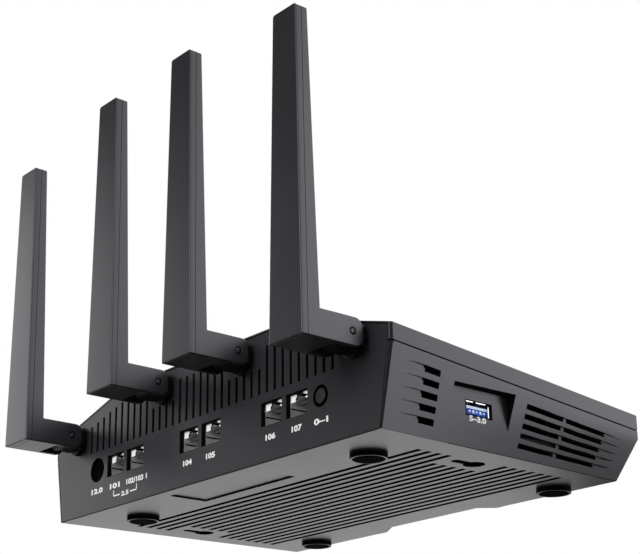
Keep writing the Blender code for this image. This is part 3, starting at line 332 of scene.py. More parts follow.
# %% Group: settled dust
dusty, given, result = new_group(
    "settled_dust",
    [("Colour", COLOUR, (0.05, 0.05, 0.05, 1.0)), ("Roughness", NUMBER, 0.35),
     ("Dust", COLOUR, (0.30, 0.29, 0.27, 1.0)), ("Amount", NUMBER, 0.06)],
    [("Colour", COLOUR), ("Roughness", NUMBER)],
)
shape = add(dusty, "NewGeometry")
facing = add(dusty, "SeparateXYZ", {0: (shape, "Normal")})
upward = add(dusty, "MapRange", {"Value": (facing, "Z"), "From Min": 0.35, "From Max": 0.95},
             clamp=True)
place = add(dusty, "TexCoord")
specks = add(dusty, "TexNoise",
             {"Vector": (place, "Object"), "Scale": 220.0, "Detail": 5.0, "Roughness": 0.7})
patchy = add(dusty, "MapRange", {"Value": (specks, "Fac"), "From Min": 0.38, "From Max": 0.68},
             clamp=True)
laid = calc(dusty, "MULTIPLY", (upward, 0), (patchy, 0))
share = calc(dusty, "MULTIPLY", (laid, 0), (given, "Amount"))
mixed = add(dusty, "Mix", data_type="RGBA")
feed(dusty, mixed, {"Factor": (share, 0), "A": (given, "Colour"), "B": (given, "Dust")})
matt = calc(dusty, "MULTIPLY_ADD", (share, 0), 0.6, (given, "Roughness"))
feed(dusty, result, {"Colour": (mixed, "Result"), "Roughness": (matt, 0)})
print("group", dusty.name, "with", len(dusty.nodes), "nodes")

# %% [markdown]
# ## Plastics
# The case, the cover, the socket panel and the antennas are the same charcoal plastic, in
# copies that differ a little in tone and shine: the darker panel and antennas carry painted
# shade. The satin look is a broad highlight (roughness near 0.3) over a dark base, with a
# grain far too fine to see singly. Recesses, seams and rounded edges take darker, duller
# finishes of their own, which are painted shade.

# %% Make the plastics
def plastic(name, colour, roughness, grain=0.35, depth=0.010, drift=0.14, dust=0.05,
            shine=0.5, sheen=WHITE, glow=WHITE, glow_strength=0.0):
    """Moulded plastic; grain and depth are the texture's size and height in mm, glow is painted light.
    """
    material, tree, shader = new_material(name)
    surface = add(tree, "Group", {"Colour": (*colour, 1.0), "Drift": drift,
                                  "Roughness": roughness, "Grain Size": grain * mm},
                  node_tree=moulded)
    settled = add(tree, "Group", {"Colour": (surface, "Colour"), "Amount": dust,
                                  "Roughness": (surface, "Roughness")}, node_tree=dusty)
    bump = add(tree, "Bump", {"Strength": 0.5, "Distance": depth * mm,
                              "Height": (surface, "Height")})
    feed(tree, shader, {
        "Base Color": (settled, "Colour"), "Roughness": (settled, "Roughness"),
        "Normal": (bump, "Normal"), "Specular IOR Level": shine, "Specular Tint": sheen,
        "Emission Color": glow, "Emission Strength": glow_strength,
    })
    return material


CHARCOAL = (0.050, 0.050, 0.058)
COOL = (0.93, 0.92, 1.0, 1.0)
finishes = {
    "housing_plastic": plastic("charcoal_housing", CHARCOAL, 0.30, shine=0.46, sheen=COOL),
    "cover_plastic": plastic("charcoal_cover", (0.050, 0.051, 0.058), 0.30, shine=0.42, sheen=COOL),
    # The panel is a darker copy of the charcoal: painted shade.
    "panel_plastic": plastic("charcoal_panel", (0.036, 0.036, 0.041), 0.40, shine=0.28, sheen=COOL),
    # The antennas are a darker copy of the charcoal too: painted shade.
    "antenna_plastic": plastic("charcoal_antenna", (0.026, 0.026, 0.030), 0.36, dust=0.02,
                               shine=0.60, sheen=COOL),
    # The hinge blocks are near black: painted shade.
    "knuckle_plastic": plastic("black_hinge_painted_shade", (0.009, 0.009, 0.010), 0.45, dust=0.01,
                               shine=0.20, sheen=COOL),
    "black_insulator": plastic("black_insulator", (0.016, 0.016, 0.018), 0.38, dust=0.02),
    "foot_rubber": plastic("foot_rubber", (0.006, 0.006, 0.007), 0.8, 0.6, 0.03, 0.25, dust=0.0,
                           shine=0.01),
    "lead_jacket": plastic("lead_jacket", (0.10, 0.10, 0.10), 0.45, dust=0.0),
    "usb_insert_plastic": plastic("blue_insert", (0.015, 0.10, 0.80), 0.35, depth=0.004, dust=0.0,
                                  shine=0.15),
    "guide_plastic": plastic("clear_guide", (0.86, 0.88, 0.90), 0.16, depth=0.004, drift=0.03,
                             dust=0.0),
}
guide = finishes["guide_plastic"].node_tree
feed(guide, guide.nodes["Principled BSDF"], {"Transmission Weight": 0.75, "IOR": 1.49})
# Painted shade: a near-black finish for recesses, slots and faces inside the case, where little light
# falls.
shaded = plastic("painted_shade_black", (0.0035, 0.0035, 0.004), 0.85, dust=0.0, shine=0.08)
# Painted shade, a little lighter, for seams and rounded edges; at the antenna it is a real joint line
# with shade in its gap.
seam_and_edge_shade = plastic("seam_and_painted_edge_shade", (0.007, 0.007, 0.008), 0.6, dust=0.0, shine=0.15)
print(len(finishes), "plastics, and two for recesses and seams")

# %% [markdown]
# ## Metals
# Rolled sheet keeps the fine parallel lines of the rollers, so its roughness and bump come
# from a noise that is stretched along one axis, and a finer noise tarnishes its colour.

# %% Make the metals
def metal(name, colour, roughness, stretch=(60.0, 60.0, 2500.0)):
    """Rolled or plated metal with fine lines across the axis that stretch favours."""
    material, tree, shader = new_material(name)
    place = add(tree, "TexCoord")
    along = add(tree, "Mapping", {"Vector": (place, "Object"), "Scale": stretch})
    lines = add(tree, "TexNoise", {"Vector": (along, 0), "Scale": 1.0, "Detail": 3.0})
    uneven = add(tree, "MapRange", {"Value": (lines, "Fac"), "To Min": roughness - 0.07,
                                    "To Max": roughness + 0.12})
    tarnish = add(tree, "TexNoise",
                  {"Vector": (place, "Object"), "Scale": 300.0, "Detail": 4.0})
    tone = add(tree, "MapRange", {"Value": (tarnish, "Fac"), "To Min": 0.86, "To Max": 1.06})
    tint = add(tree, "VectorMath", {0: colour, "Scale": (tone, 0)}, operation="SCALE")
    bump = add(tree, "Bump", {"Strength": 0.4, "Distance": 0.006 * mm, "Height": (lines, "Fac")})
    feed(tree, shader, {"Metallic": 1.0, "Roughness": (uneven, 0), "Base Color": (tint, 0),
                        "Normal": (bump, "Normal")})
    return material


finishes["screw_steel"] = metal("zinc_screw", (0.62, 0.62, 0.60), 0.34)
finishes["hinge_steel"] = metal("plain_steel", (0.50, 0.50, 0.50), 0.34)
finishes["contact_steel"] = metal("nickel_contact", (0.72, 0.71, 0.68), 0.22)
finishes["jack_shield"] = metal("tinned_sheet", (0.66, 0.66, 0.66), 0.30, (2500.0, 60.0, 60.0))
finishes["sink_aluminium"] = metal("extruded_aluminium", (0.74, 0.74, 0.76), 0.38,
                                   (60.0, 2500.0, 60.0))
finishes["radiator_strip"] = metal("copper_strip", (0.62, 0.34, 0.20), 0.35)
print(len(finishes), "finishes so far")

# %% [markdown]
# ## Circuit board
# The board is a black lacquer, with the copper tracks showing through as slightly raised,
# lighter lanes. A brick pattern with thin joints lays the lanes out.

# %% Make the board lacquer
board, tree, shader = new_material("board_lacquer")
place = add(tree, "TexCoord")
lanes = add(tree, "TexBrick",
            {"Vector": (place, "Object"), "Scale": 90.0, "Mortar Size": 0.06, "Brick Width": 1.7,
             "Row Height": 0.16})
lacquer = add(tree, "Mix", data_type="RGBA")
feed(tree, lacquer, {"Factor": (lanes, "Fac"), "A": (0.006, 0.007, 0.007, 1.0),
                     "B": (0.010, 0.012, 0.012, 1.0)})
raised = add(tree, "Bump", {"Strength": 0.6, "Distance": 0.03 * mm, "Height": (lanes, "Fac")})
satin = add(tree, "TexNoise", {"Vector": (place, "Object"), "Scale": 150.0})
gloss = add(tree, "MapRange", {"Value": (satin, "Fac"), "To Min": 0.22, "To Max": 0.40})
feed(tree, shader, {"Base Color": (lacquer, "Result"), "Normal": (raised, "Normal"),
                    "Roughness": (gloss, 0)})
finishes["board_laminate"] = board
print(len(finishes), "finishes")

# %% [markdown]
# ## Finish every solid of the frame
# The record of the part names one finish slot for each solid. Each solid keeps its shape and
# takes the matching material here, and the pieces modelled later take theirs by the same
# slot names, unless they are given a finish of their own.

# %% Give each solid its material
slot_of = {row["node"]: row["material_slot"] for row in frame["record"]["subparts"]}
for name, given in nodes.items():
    given.data.materials.clear()
    given.data.materials.append(finishes[slot_of[name]])
print(len(nodes), "solids dressed in", len(set(slot_of.values())), "finishes")

# %% [markdown]
# ## Tools for modelling
# A solid is drawn as a bmesh, shaped by operators, and only then becomes an object. The same
# few moves come back on every piece: a block from a cube, a rod from a cylinder, a rounded
# edge, one solid cut out of another, and the last step that gives a mesh its finish, its
# body and the solid that it stands for.

# %% Shaping tools
X, Y, Z = 0, 1, 2
HAIR = 0.01 * mm


def block(bm, low, high):
    """A box between two corners; gives back its vertices."""
    low, high = Vector(low), Vector(high)
    made = bmesh.ops.create_cube(bm, size=1.0)["verts"]
    bmesh.ops.scale(bm, vec=high - low, verts=made)
    bmesh.ops.translate(bm, vec=(low + high) / 2, verts=made)
    return made


def rod(bm, start, end, radius, sides=24, end_radius=None):
    """A closed cylinder or cone between two points."""
    start, end = Vector(start), Vector(end)
    axis = end - start
    turn = axis.to_track_quat("Z", "Y").to_matrix().to_4x4()
    bmesh.ops.create_cone(
        bm, cap_ends=True, segments=sides, radius1=radius,
        radius2=radius if end_radius is None else end_radius, depth=axis.length,
        matrix=Matrix.Translation((start + end) / 2) @ turn,
    )


print("block and rod ready")

# %% [markdown]
# Which edges to round is told by how far they reach along an axis, and by how much the
# surface turns there.

# %% Rounding tools
def lowest(part, axis):
    """The lowest place of an edge or face along an axis."""
    return min(v.co[axis] for v in part.verts)


def highest(part, axis):
    """The highest place of an edge or face along an axis."""
    return max(v.co[axis] for v in part.verts)


def runs(part, axis):
    """How long an edge or face is along an axis."""
    return highest(part, axis) - lowest(part, axis)


def sharp_edges(bm, keep=lambda edge: True, least=60):
    """The convex edges at which the surface turns by more than least degrees."""
    bm.normal_update()
    turn = math.radians(least)
    return [e for e in bm.edges if e.is_manifold and e.is_convex
            and e.calc_face_angle(0.0) > turn and keep(e)]


def rounded(bm, edges, width, segments=3, clamp=True):
    """Round the given edges and give back the new faces."""
    made = bmesh.ops.bevel(
        bm, geom=list(edges), offset=width, offset_type="OFFSET", segments=segments,
        profile=0.5, affect="EDGES", clamp_overlap=clamp, material=-1,
    )
    return made["faces"]


def soften(bm, width, segments=3, keep=lambda edge: True, least=60):
    """Round the sharp edges of a solid, or those of them that keep picks."""
    rounded(bm, sharp_edges(bm, keep, least), width, segments)


def solid(shape, *sizes):
    """A new bmesh with one block or rod in it."""
    bm = bmesh.new()
    shape(bm, *sizes)
    return bm


print("rounding tools ready")

# %% [markdown]
# A cut uses two objects and a Boolean modifier, whose result comes back as a bmesh. The
# slice is gentler: it only adds edges where a plane passes, so that the two sides can take
# different finishes.

# %% Cutting tools
def combine(body, tool, operation="DIFFERENCE"):
    """Cut a tool from a solid body, or join them, and use both up."""
    ends = []
    for bm in (body, tool):
        bmesh.ops.recalc_face_normals(bm, faces=bm.faces)
        ends.append(bpy.data.objects.new("blank", stored(bm, "blank")))
        scene.collection.objects.link(ends[-1])
    cut = ends[0].modifiers.new("cut", "BOOLEAN")
    cut.operation = operation
    cut.solver = "EXACT"
    cut.object = ends[1]
    shaped = bmesh.new()
    shaped.from_object(ends[0], bpy.context.evaluated_depsgraph_get())
    for end in ends:
        bpy.data.objects.remove(end)
    return shaped


def carve(bm, shape, *sizes, operation="DIFFERENCE"):
    """Cut out of a solid, or join to it, a block or a rod of the given sizes."""
    return combine(bm, solid(shape, *sizes), operation)


def slice_through(bm, place, across, parts=None):
    """Cut faces along a plane without taking anything away."""
    bmesh.ops.bisect_plane(bm, geom=parts or bm.verts[:] + bm.edges[:] + bm.faces[:],
                           plane_co=place, plane_no=across)


print("cutting tools ready")

# %% [markdown]
# The last tools turn a frame solid into a bmesh that can be worked on, and a finished bmesh
# into a piece. A piece rides on its body, so that it moves with it, and it can replace one
# or more solids of the frame.

# %% Tools for whole pieces
def copied(mesh, shift=(0, 0, 0)):
    """A bmesh copy of a mesh, moved."""
    bm = bmesh.new()
    bm.from_mesh(mesh)
    bmesh.ops.translate(bm, vec=shift, verts=bm.verts)
    return bm


def from_solid(node):
    """A merged copy of a frame solid, with its flat faces in one piece."""
    bm = copied(nodes[node].data)
    bmesh.ops.remove_doubles(bm, verts=bm.verts[:], dist=0.002 * mm)
    bmesh.ops.dissolve_limit(bm, angle_limit=math.radians(1.0), verts=bm.verts[:], edges=bm.edges[:])
    return bm


def finish_piece(name, bm, slot, body="base", replaces=(), smooth=38, finish=None, more=()):
    """A piece on its body; smooth is the shading angle, and more the numbered finishes."""
    piece = bpy.data.objects.new(name, stored(bm, name))
    for material in (finish or finishes[slot], *more):
        piece.data.materials.append(material)
    scene.collection.objects.link(piece)
    if smooth:
        piece.data.shade_smooth()
        piece.data.set_sharp_from_angle(angle=math.radians(smooth))
        even = piece.modifiers.new("even_shading", "WEIGHTED_NORMAL")
        even.keep_sharp = True
    else:
        piece.data.shade_flat()
    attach(piece, body)
    if replaces:
        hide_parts(*replaces)
    return piece


print("tools for pieces ready")

# %% [markdown]
# ## Antennas
# Each antenna is an L: a tapered blade on a short arm that tilts on a cross pin. The blade is
# two shells, a deep front one in one piece with the arm, and a shallow lid on the rear face,
# and the seam between them runs up both sides. Sizes that the frame knows are read from it,
# measured from the hinge, because all four antennas are then copies of one model.

# %% Antenna sizes, from the frame
hinges = [Vector(j["pos_m"]) for j in frame["joints"] if j["name"].endswith("_swivel")]
shell_low, shell_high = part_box("antenna_1_shell")
lid_low, lid_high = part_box("antenna_1_back")
knuckle_low, knuckle_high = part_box("antenna_1_knuckle")
pin_low, pin_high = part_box("antenna_1_pin")
home = hinges[0]
ARM_HALF_WIDTH = (shell_high - shell_low).x / 2
BLADE_LOW = shell_low.z - home.z
BLADE_TOP = shell_high.z - home.z
ARM_TOP = -BLADE_LOW
ARM_END = shell_low.y - home.y
SEAM_FRONT = shell_high.y - home.y
SEAM_BACK = lid_low.y - home.y
BLADE_BACK = lid_high.y - home.y
BARREL_HALF = (knuckle_high - knuckle_low).x / 2
BLADE_DEPTH_LOW, BLADE_DEPTH_TOP = 9.1 * mm, 5.9 * mm
TOP_HALF_WIDTH = 7.0 * mm
EDGE, TOP_CORNER, NOSE_RADIUS = 0.55 * mm, 1.3 * mm, 3.6 * mm
SEAM_CHAMFER = 0.2 * mm
BORE_RADIUS, BORE_HALF = 1.5 * mm, 12 * mm
FORK_GAP, FORK_END, FORK_LOW_END = 0.3 * mm, 4.9 * mm, 7.5 * mm
DISH_DEPTH, DISH_RADIUS, DISH_END_RADIUS = 0.35 * mm, 1.75 * mm, 3.0 * mm
print("blade", round((BLADE_TOP - BLADE_LOW) / mm, 1), "mm tall,",
      round(2 * ARM_HALF_WIDTH / mm, 1), "mm wide")

# %% [markdown]
# Both shells start as one cube that tapers towards the top. The edges where they meet get a
# small chamfer, and it and the hidden face behind it take the darker finish: a real joint line
# with painted shade in its gap, which draws the thin line that shows on the sides.

# %% Antenna blade
def tapered_blade(bm, front_low, front_top, back):
    """The upright blade between its front and a flat back, narrower at the top."""
    made = block(bm, (-ARM_HALF_WIDTH, front_low, BLADE_LOW), (ARM_HALF_WIDTH, back, BLADE_TOP))
    for vert in made:
        if vert.co.z > 0:
            vert.co.x *= TOP_HALF_WIDTH / ARM_HALF_WIDTH
            if vert.co.y < back - 0.1 * mm:
                vert.co.y = front_top
    soften(bm, TOP_CORNER, 5, lambda e: lowest(e, Z) > BLADE_TOP - HAIR and runs(e, Y) > mm)


def paint_seam_shade(bm, level):
    """Paint shade into the seam: the hidden face at a level along Y, and the chamfer round it."""
    for face in bm.faces:
        spot = face.calc_center_median()
        narrow = abs(spot.y - level) < 0.6 * SEAM_CHAMFER and abs(face.normal.y) > 0.3
        face.material_index = 1 if narrow else 0


print("blade shape ready")

# %% [markdown]
# The deep shell is the blade with its arm pulled out of the foot: a cut across the blade marks
# the arm's height, and the lower front face moves out to the hinge. The fork for the hinge
# block is cut in two steps, and goes deeper below the pin than above it. A small cone at each
# end of the pin's bore leaves the pin's rounded end in view.

# %% Antenna shells
def front_shell():
    """The deep shell with its arm, the fork at the hinge and the pin's bore."""
    bm = bmesh.new()
    tapered_blade(bm, BLADE_BACK - BLADE_DEPTH_LOW, BLADE_BACK - BLADE_DEPTH_TOP, SEAM_FRONT)
    slice_through(bm, (0, 0, ARM_TOP), (0, 0, 1))
    bm.normal_update()
    foot = min((f for f in bm.faces if f.normal.y < -0.9), key=lambda f: f.calc_center_median().z)
    pulled = bmesh.ops.extrude_face_region(bm, geom=[foot])["geom"]
    bmesh.ops.delete(bm, geom=[foot], context="FACES")
    tip = [v for v in pulled if isinstance(v, bmesh.types.BMVert)]
    for vert in tip:
        vert.co.y = ARM_END
    nose = {e for v in tip for e in v.link_edges if runs(e, X) > 10 * mm and e.other_vert(v) in tip}
    rounded(bm, nose, NOSE_RADIUS, 6)
    soften(bm, EDGE, 3, lambda e: lowest(e, Y) < SEAM_FRONT - HAIR, 30)
    soften(bm, SEAM_CHAMFER, 1, lambda e: lowest(e, Y) > SEAM_FRONT - HAIR)
    inner = BARREL_HALF + FORK_GAP
    bm = carve(bm, block, (-inner, ARM_END - 2 * mm, 2 * BLADE_LOW), (inner, FORK_END, 2 * ARM_TOP))
    bm = carve(bm, block, (-inner, 0.0, 2 * BLADE_LOW), (inner, FORK_LOW_END, 0.0))
    bm = carve(bm, rod, (-BORE_HALF, 0, 0), (BORE_HALF, 0, 0), BORE_RADIUS, 32)
    dish = bmesh.new()
    for side in (-1, 1):
        rod(dish, (side * (ARM_HALF_WIDTH - DISH_DEPTH), 0, 0), (side * BORE_HALF, 0, 0),
            DISH_RADIUS, 32, DISH_END_RADIUS)
    bm = combine(bm, dish)
    paint_seam_shade(bm, SEAM_FRONT)
    return bm


def rear_lid():
    """The shallow lid that closes the rear face."""
    bm = bmesh.new()
    tapered_blade(bm, SEAM_BACK, SEAM_BACK, BLADE_BACK)
    level = SEAM_BACK + 0.1 * mm
    soften(bm, EDGE, 3, lambda e: highest(e, Y) > level)
    soften(bm, SEAM_CHAMFER, 1, lambda e: highest(e, Y) < level)
    paint_seam_shade(bm, SEAM_BACK)
    return bm


shell_model, lid_model = stored(front_shell(), "shell_model"), stored(rear_lid(), "lid_model")
for number, hinge in enumerate(hinges, 1):
    for model, part, node in ((shell_model, "front", "shell"), (lid_model, "lid", "back")):
        finish_piece(f"antenna_{number}_{part}", copied(model, hinge), "antenna_plastic",
                     f"antenna_{number}", [f"antenna_{number}_{node}"], more=(seam_and_edge_shade,))
print("front shell", len(shell_model.polygons), "faces, lid", len(lid_model.polygons))

# %% [markdown]
# ## Hinges
# Behind each arm a hinge block turns in the case, near black with painted shade. Its collar
# sits against the panel, a square web carries the barrel, and the arm's two cheeks close over
# the barrel's ends on a short pin with dark, rounded ends.

# %% Hinge sizes, from the frame
PANEL_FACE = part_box("rear_panel")[1].y
COLLAR_LOW = PANEL_FACE + 0.3 * mm - home.y
COLLAR_HIGH = COLLAR_LOW + 1.5 * mm
COLLAR_FACE = COLLAR_LOW + 0.75 * mm
NECK_END = knuckle_low.y - home.y
clip_low, clip_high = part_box("antenna_1_clip")
GROOVE_LOW, GROOVE_HIGH = clip_low.y - home.y - 0.1 * mm, clip_high.y - home.y + 0.1 * mm
BARREL_RADIUS, WEB_HALF, PIN_RADIUS = 4.6 * mm, 4.2 * mm, 1.2 * mm
COLLAR_RADIUS, NECK_RADIUS, CORE_RADIUS, LEAD_RADIUS = 6.7 * mm, 4.8 * mm, 3.8 * mm, 2.0 * mm
print("collar at", round(COLLAR_LOW / mm, 2), "mm from the hinge")

# %% [markdown]
# The block is built up from round and square parts with union cuts, since its real parts run
# into each other without a gap. A groove round the neck takes the clip, and a bore along it
# takes the lead.

# %% Hinge blocks and pins
def hinge_block():
    """Neck, collar, web and barrel, with the bore for the pin."""
    bm = solid(rod, (-BARREL_HALF, 0, 0), (BARREL_HALF, 0, 0), BARREL_RADIUS, 48)
    soften(bm, 0.4 * mm)
    web = solid(block, (-BARREL_HALF, COLLAR_FACE, -WEB_HALF), (BARREL_HALF, 0, WEB_HALF))
    soften(web, 0.6 * mm, 3, lambda e: runs(e, Y) > mm)
    bm = combine(bm, web, "UNION")
    collar = solid(rod, (0, COLLAR_LOW, 0), (0, COLLAR_HIGH, 0), COLLAR_RADIUS, 64)
    soften(collar, 0.5 * mm, 3, lambda e: highest(e, Y) > COLLAR_LOW + 0.1 * mm)
    bm = combine(bm, collar, "UNION")
    bm = carve(bm, rod, (0, NECK_END, 0), (0, COLLAR_LOW + 0.5 * mm, 0), NECK_RADIUS, 48,
               operation="UNION")
    groove = solid(rod, (0, GROOVE_LOW, 0), (0, GROOVE_HIGH, 0), NECK_RADIUS + 1.2 * mm, 48)
    groove = carve(groove, rod, (0, GROOVE_LOW - mm, 0), (0, GROOVE_HIGH + mm, 0), CORE_RADIUS, 48)
    bm = combine(bm, groove)
    bm = carve(bm, rod, (0, NECK_END - mm, 0), (0, -4.0 * mm, 0), LEAD_RADIUS, 32)
    return carve(bm, rod, (-BORE_HALF, 0, 0), (BORE_HALF, 0, 0), BORE_RADIUS, 32)


block_model = stored(hinge_block(), "hinge_block_model")
for number, hinge in enumerate(hinges, 1):
    finish_piece(f"hinge_block_{number}", copied(block_model, hinge), "knuckle_plastic",
                 f"knuckle_{number}", [f"antenna_{number}_knuckle"])
    reach = Vector(((pin_high - pin_low).x / 2, 0, 0))
    pin = solid(rod, hinge - reach, hinge + reach, PIN_RADIUS, 32)
    soften(pin, 0.6 * mm, 4)
    finish_piece(f"hinge_pin_{number}", pin, "hinge_steel", f"antenna_{number}",
                 [f"antenna_{number}_pin"], finish=finishes["antenna_plastic"])
print("hinge block", len(block_model.polygons), "faces")

# %% [markdown]
# ## Case shells
# The housing, the cover and the socket panel start from the frame's exact shape. A moulded
# part never has a knife edge, though: a real tool leaves a small radius along its outline. So
# a merged copy of each solid gets its outline rounded, and most of the housing's rounded edges
# are painted darker as a thin line of shade; only the lip and the step at the front stay
# crisp. Outline edges are those whose two faces both lie on the outside, with the whole part
# behind them. Every other face is inside the case or down in a slot, where little light comes,
# and is painted near-black as painted shade. Two places are told by where they lie: the step,
# which is the raised strip under the front, and the pocket that the USB socket looks out of.

# %% Case sizes, from the frame
MAIN, SHADED, EDGE_SHADE = 0, 1, 2
housing_low, housing_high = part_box("lower_housing")
FLOOR = housing_low.z + 1.85 * mm
LIP_TOP = FLOOR + 0.6 * mm
SIDE_START = 100 * mm
STEP_BACK, STEP_TOP, STEP_HALF = -70 * mm, 9 * mm, 45 * mm
SLIVER = 10e-6
shell_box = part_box("usb_shell")
POCKET_LOW = Vector((-116.5 * mm, shell_box[0].y - 12 * mm, FLOOR + mm))
POCKET_HIGH = Vector((shell_box[0].x + 9 * mm, shell_box[1].y + 13 * mm, shell_box[1].z + 9 * mm))
print("case floor", round(FLOOR / mm, 2), "mm up")

# %% [markdown]
# What kind a face is follows from the shape itself, so that few have to be picked one by one.
# A face is outside if all the rest lies behind it, and open if a ray from it meets nothing.

# %% Faces and edges of a shell
def outside_faces(bm, floor_z=-1.0, slack=0.06 * mm):
    """Faces with every vertex of the part behind their plane, ignoring what is below floor_z."""
    points = [v.co.copy() for v in bm.verts if v.co.z > floor_z]
    found = set()
    for face in bm.faces:
        level = face.normal.dot(face.verts[0].co) + slack
        if all(face.normal.dot(point) < level for point in points):
            found.add(face)
    return found


def open_faces(bm, up):
    """Faces that look out freely; up is 1 for a shell that opens downwards and -1 for a tray."""
    tree = BVHTree.FromBMesh(bm)
    found = set()
    for face in bm.faces:
        start = face.calc_center_median() + face.normal * 0.02 * mm
        if up * face.normal.z > -0.4 and tree.ray_cast(start, face.normal)[0] is None:
            found.add(face)
    return found


def inside_box(point, low, high):
    """Whether a point lies between two corners."""
    return all(a < c < b for a, c, b in zip(low, point, high))


def is_wall(normal):
    """Whether a direction is that of a leaning side wall."""
    return abs(normal.x) > 0.6 and -0.8 < normal.z < -0.08 and abs(normal.y) < 0.3


print("face finders ready")

# %% [markdown]
# The side walls twist: they lean a long way out at the front and stand almost upright at the
# rear. The frame draws that as narrow flat strips. Here each corner of a wall face takes the
# mean direction of the strips near it, turned towards upright at the top as a crowned wall is,
# so the wall shades as one smooth sheet. Turns are in degrees here, and the sizes of faces in
# square metres.

# %% The direction of the twisted walls
STRIPS, STRIP_FACE = 9, 8e-6
WALL_CROWN = 0.6
WALL_TURN, SMALL_TURN, SMALL_FACE = 20, 48, 7e-6
STEP_BLEND = 0.85


def wall_lean(mesh):
    """A function that gives a side wall's direction at a place, from its mean in strips along Y."""
    low = min(v.co.y for v in mesh.vertices)
    length = max(v.co.y for v in mesh.vertices) - low
    total = {side: [Vector() for _ in range(STRIPS)] for side in (-1, 1)}
    tops = [0.0] * STRIPS
    for face in mesh.polygons:
        if face.material_index == MAIN and is_wall(face.normal) and face.area > STRIP_FACE:
            strip = min(STRIPS - 1, int((face.center.y - low) / length * STRIPS))
            total[1 if face.normal.x > 0 else -1][strip] += face.normal * face.area
            tops[strip] = max(tops[strip], *(mesh.vertices[v].co.z for v in face.vertices))
    known = {side: [(i + 0.5, t.normalized(), tops[i]) for i, t in enumerate(row) if t.length > 0]
             for side, row in total.items()}

    def lean(side, point):
        at = (point.y - low) / length * STRIPS
        before = max([k for k in known[side] if k[0] <= at] or [known[side][0]])
        after = min([k for k in known[side] if k[0] > at] or [known[side][-1]])
        share = (at - before[0]) / (after[0] - before[0]) if after[0] > before[0] else 0.0
        share = min(max(share, 0.0), 1.0)
        top = before[2] + (after[2] - before[2]) * share
        height = min(max((point.z - FLOOR) / (top - FLOOR), 0.0), 1.0)
        upright = Vector((side, 0, 0))
        return before[1].lerp(after[1], share).lerp(upright, WALL_CROWN * height ** 2).normalized()

    return lean


print(STRIPS, "strips along each wall")

# %% [markdown]
# A face counts as wall if it looks nearly the way that the wall does there, and a small face
# may differ more. The floor of the USB pocket runs into the wall, and the sloping facets of
# the front step shade almost like the floor. Every other face stays flat.

# %% Shade the twisted walls smoothly
def smooth_walls(mesh):
    """Give the corners of the walls, the pocket's floor and the step their directions."""
    mesh.shade_smooth()
    lean = wall_lean(mesh)
    directions, count = [], 0
    for face in mesh.polygons:
        normal, main = face.normal, face.material_index == MAIN
        side = 1 if normal.x > 0 else -1
        near = math.cos(math.radians(SMALL_TURN if face.area < SMALL_FACE else WALL_TURN))
        wall = (main and abs(normal.x) > 0.6 and abs(face.center.x) > SIDE_START
                and normal.dot(lean(side, Vector((0, face.center.y, FLOOR)))) > near)
        pocket = main and inside_box(face.center, POCKET_LOW, POCKET_HIGH) and normal.x < -0.98
        step = main and normal.z < -0.5 and face.center.y < STEP_BACK
        count += wall
        level = [mesh.vertices[v].co.z for v in face.vertices]
        for vertex in face.vertices:
            point = mesh.vertices[vertex].co
            direction = normal.copy()
            if wall:
                direction = lean(side, point)
            elif pocket:
                share = (max(level) - point.z) / (max(level) - min(level))
                direction = direction.lerp(lean(side, point), share).normalized()
            elif step:
                direction = direction.lerp(Vector((0, 0, -1)), STEP_BLEND).normalized()
            directions.append(tuple(direction))
    mesh.normals_split_custom_set(directions)
    return count


print("wall tools ready")

# %% [markdown]
# Before the housing is rounded, its vents are trued up. The ribs that split the front vents
# are set back a little from the wall, and each slot in the floor is widened on both long
# sides, in place of the rounded mouth that a moulded slot has. Once the outline is round, the
# walls are cut into small cells, so that their shading runs evenly from corner to corner.

# %% Cells, slots and ribs
RIB_WIDTH, RIB_DEPTH, RIB_HEIGHT = 1.6 * mm, 1.2 * mm, 1.75 * mm
RIB_START, RIB_END = housing_low.y + 41 * mm, housing_low.y + 44 * mm
SLOT_RELIEF, SLOT_WALL_AREA = 0.3 * mm, 1e-4
CELL = 5 * mm


def grid_walls(bm):
    """Cut the wall faces into small cells along Y and along Z."""
    for axis, low, high in ((Y, housing_low.y, PANEL_FACE), (Z, FLOOR, housing_high.z)):
        for i in range(1, int((high - low) / CELL) + 1):
            walls = [f for f in bm.faces if f.material_index == MAIN and is_wall(f.normal)]
            parts = {*walls, *(e for f in walls for e in f.edges), *(v for f in walls for v in f.verts)}
            place, across = Vector(), Vector()
            place[axis], across[axis] = low + i * CELL, 1.0
            slice_through(bm, place, across, list(parts))


def relieve_slots(bm):
    """Widen each slot of the floor on both long sides, and give back how many sides moved."""
    walls = []
    for face in bm.faces:
        middle = face.calc_center_median()
        if abs(face.normal.y) < 0.99 or abs(middle.x) > 8 * mm or face.calc_area() < SLOT_WALL_AREA:
            continue
        at_floor = any(abs(v.co.z - FLOOR) < 0.05 * mm for v in face.verts)
        if at_floor and highest(face, Z) < FLOOR + 4 * mm and middle.y < housing_high.y - 8 * mm:
            walls.append(face)
    sheet = [f for f in bm.faces
             if f.normal.z < -0.95 and abs(f.calc_center_median().z - FLOOR) < 0.1 * mm]
    bmesh.ops.triangulate(bm, faces=sheet)
    for wall in walls:
        for vert in wall.verts:
            vert.co.y -= wall.normal.y * SLOT_RELIEF
    return len(walls)


def set_back_ribs(bm, side):
    """Cut away the front of each rib that splits a front vent, on one side of the case."""
    tool = bmesh.new()
    count = 0
    for face in bm.faces:
        middle = face.calc_center_median()
        low, high = lowest(face, Z), highest(face, Z)
        rib = face.normal.y < -0.95 and high - low < 4 * mm and RIB_START < middle.y < RIB_END
        if not rib or side * middle.x < 0.1:
            continue
        depth = side * max(side * v.co.x for v in face.verts)
        start, end = sorted((depth - side * RIB_DEPTH, depth + side * 3 * mm))
        block(tool, (start, middle.y - 0.05 * mm, low),
              (end, middle.y + RIB_WIDTH + 0.05 * mm, min(high, low + RIB_HEIGHT)))
        count += 1
    print(count, "ribs set back")
    return combine(bm, tool)


print("vent tools ready")
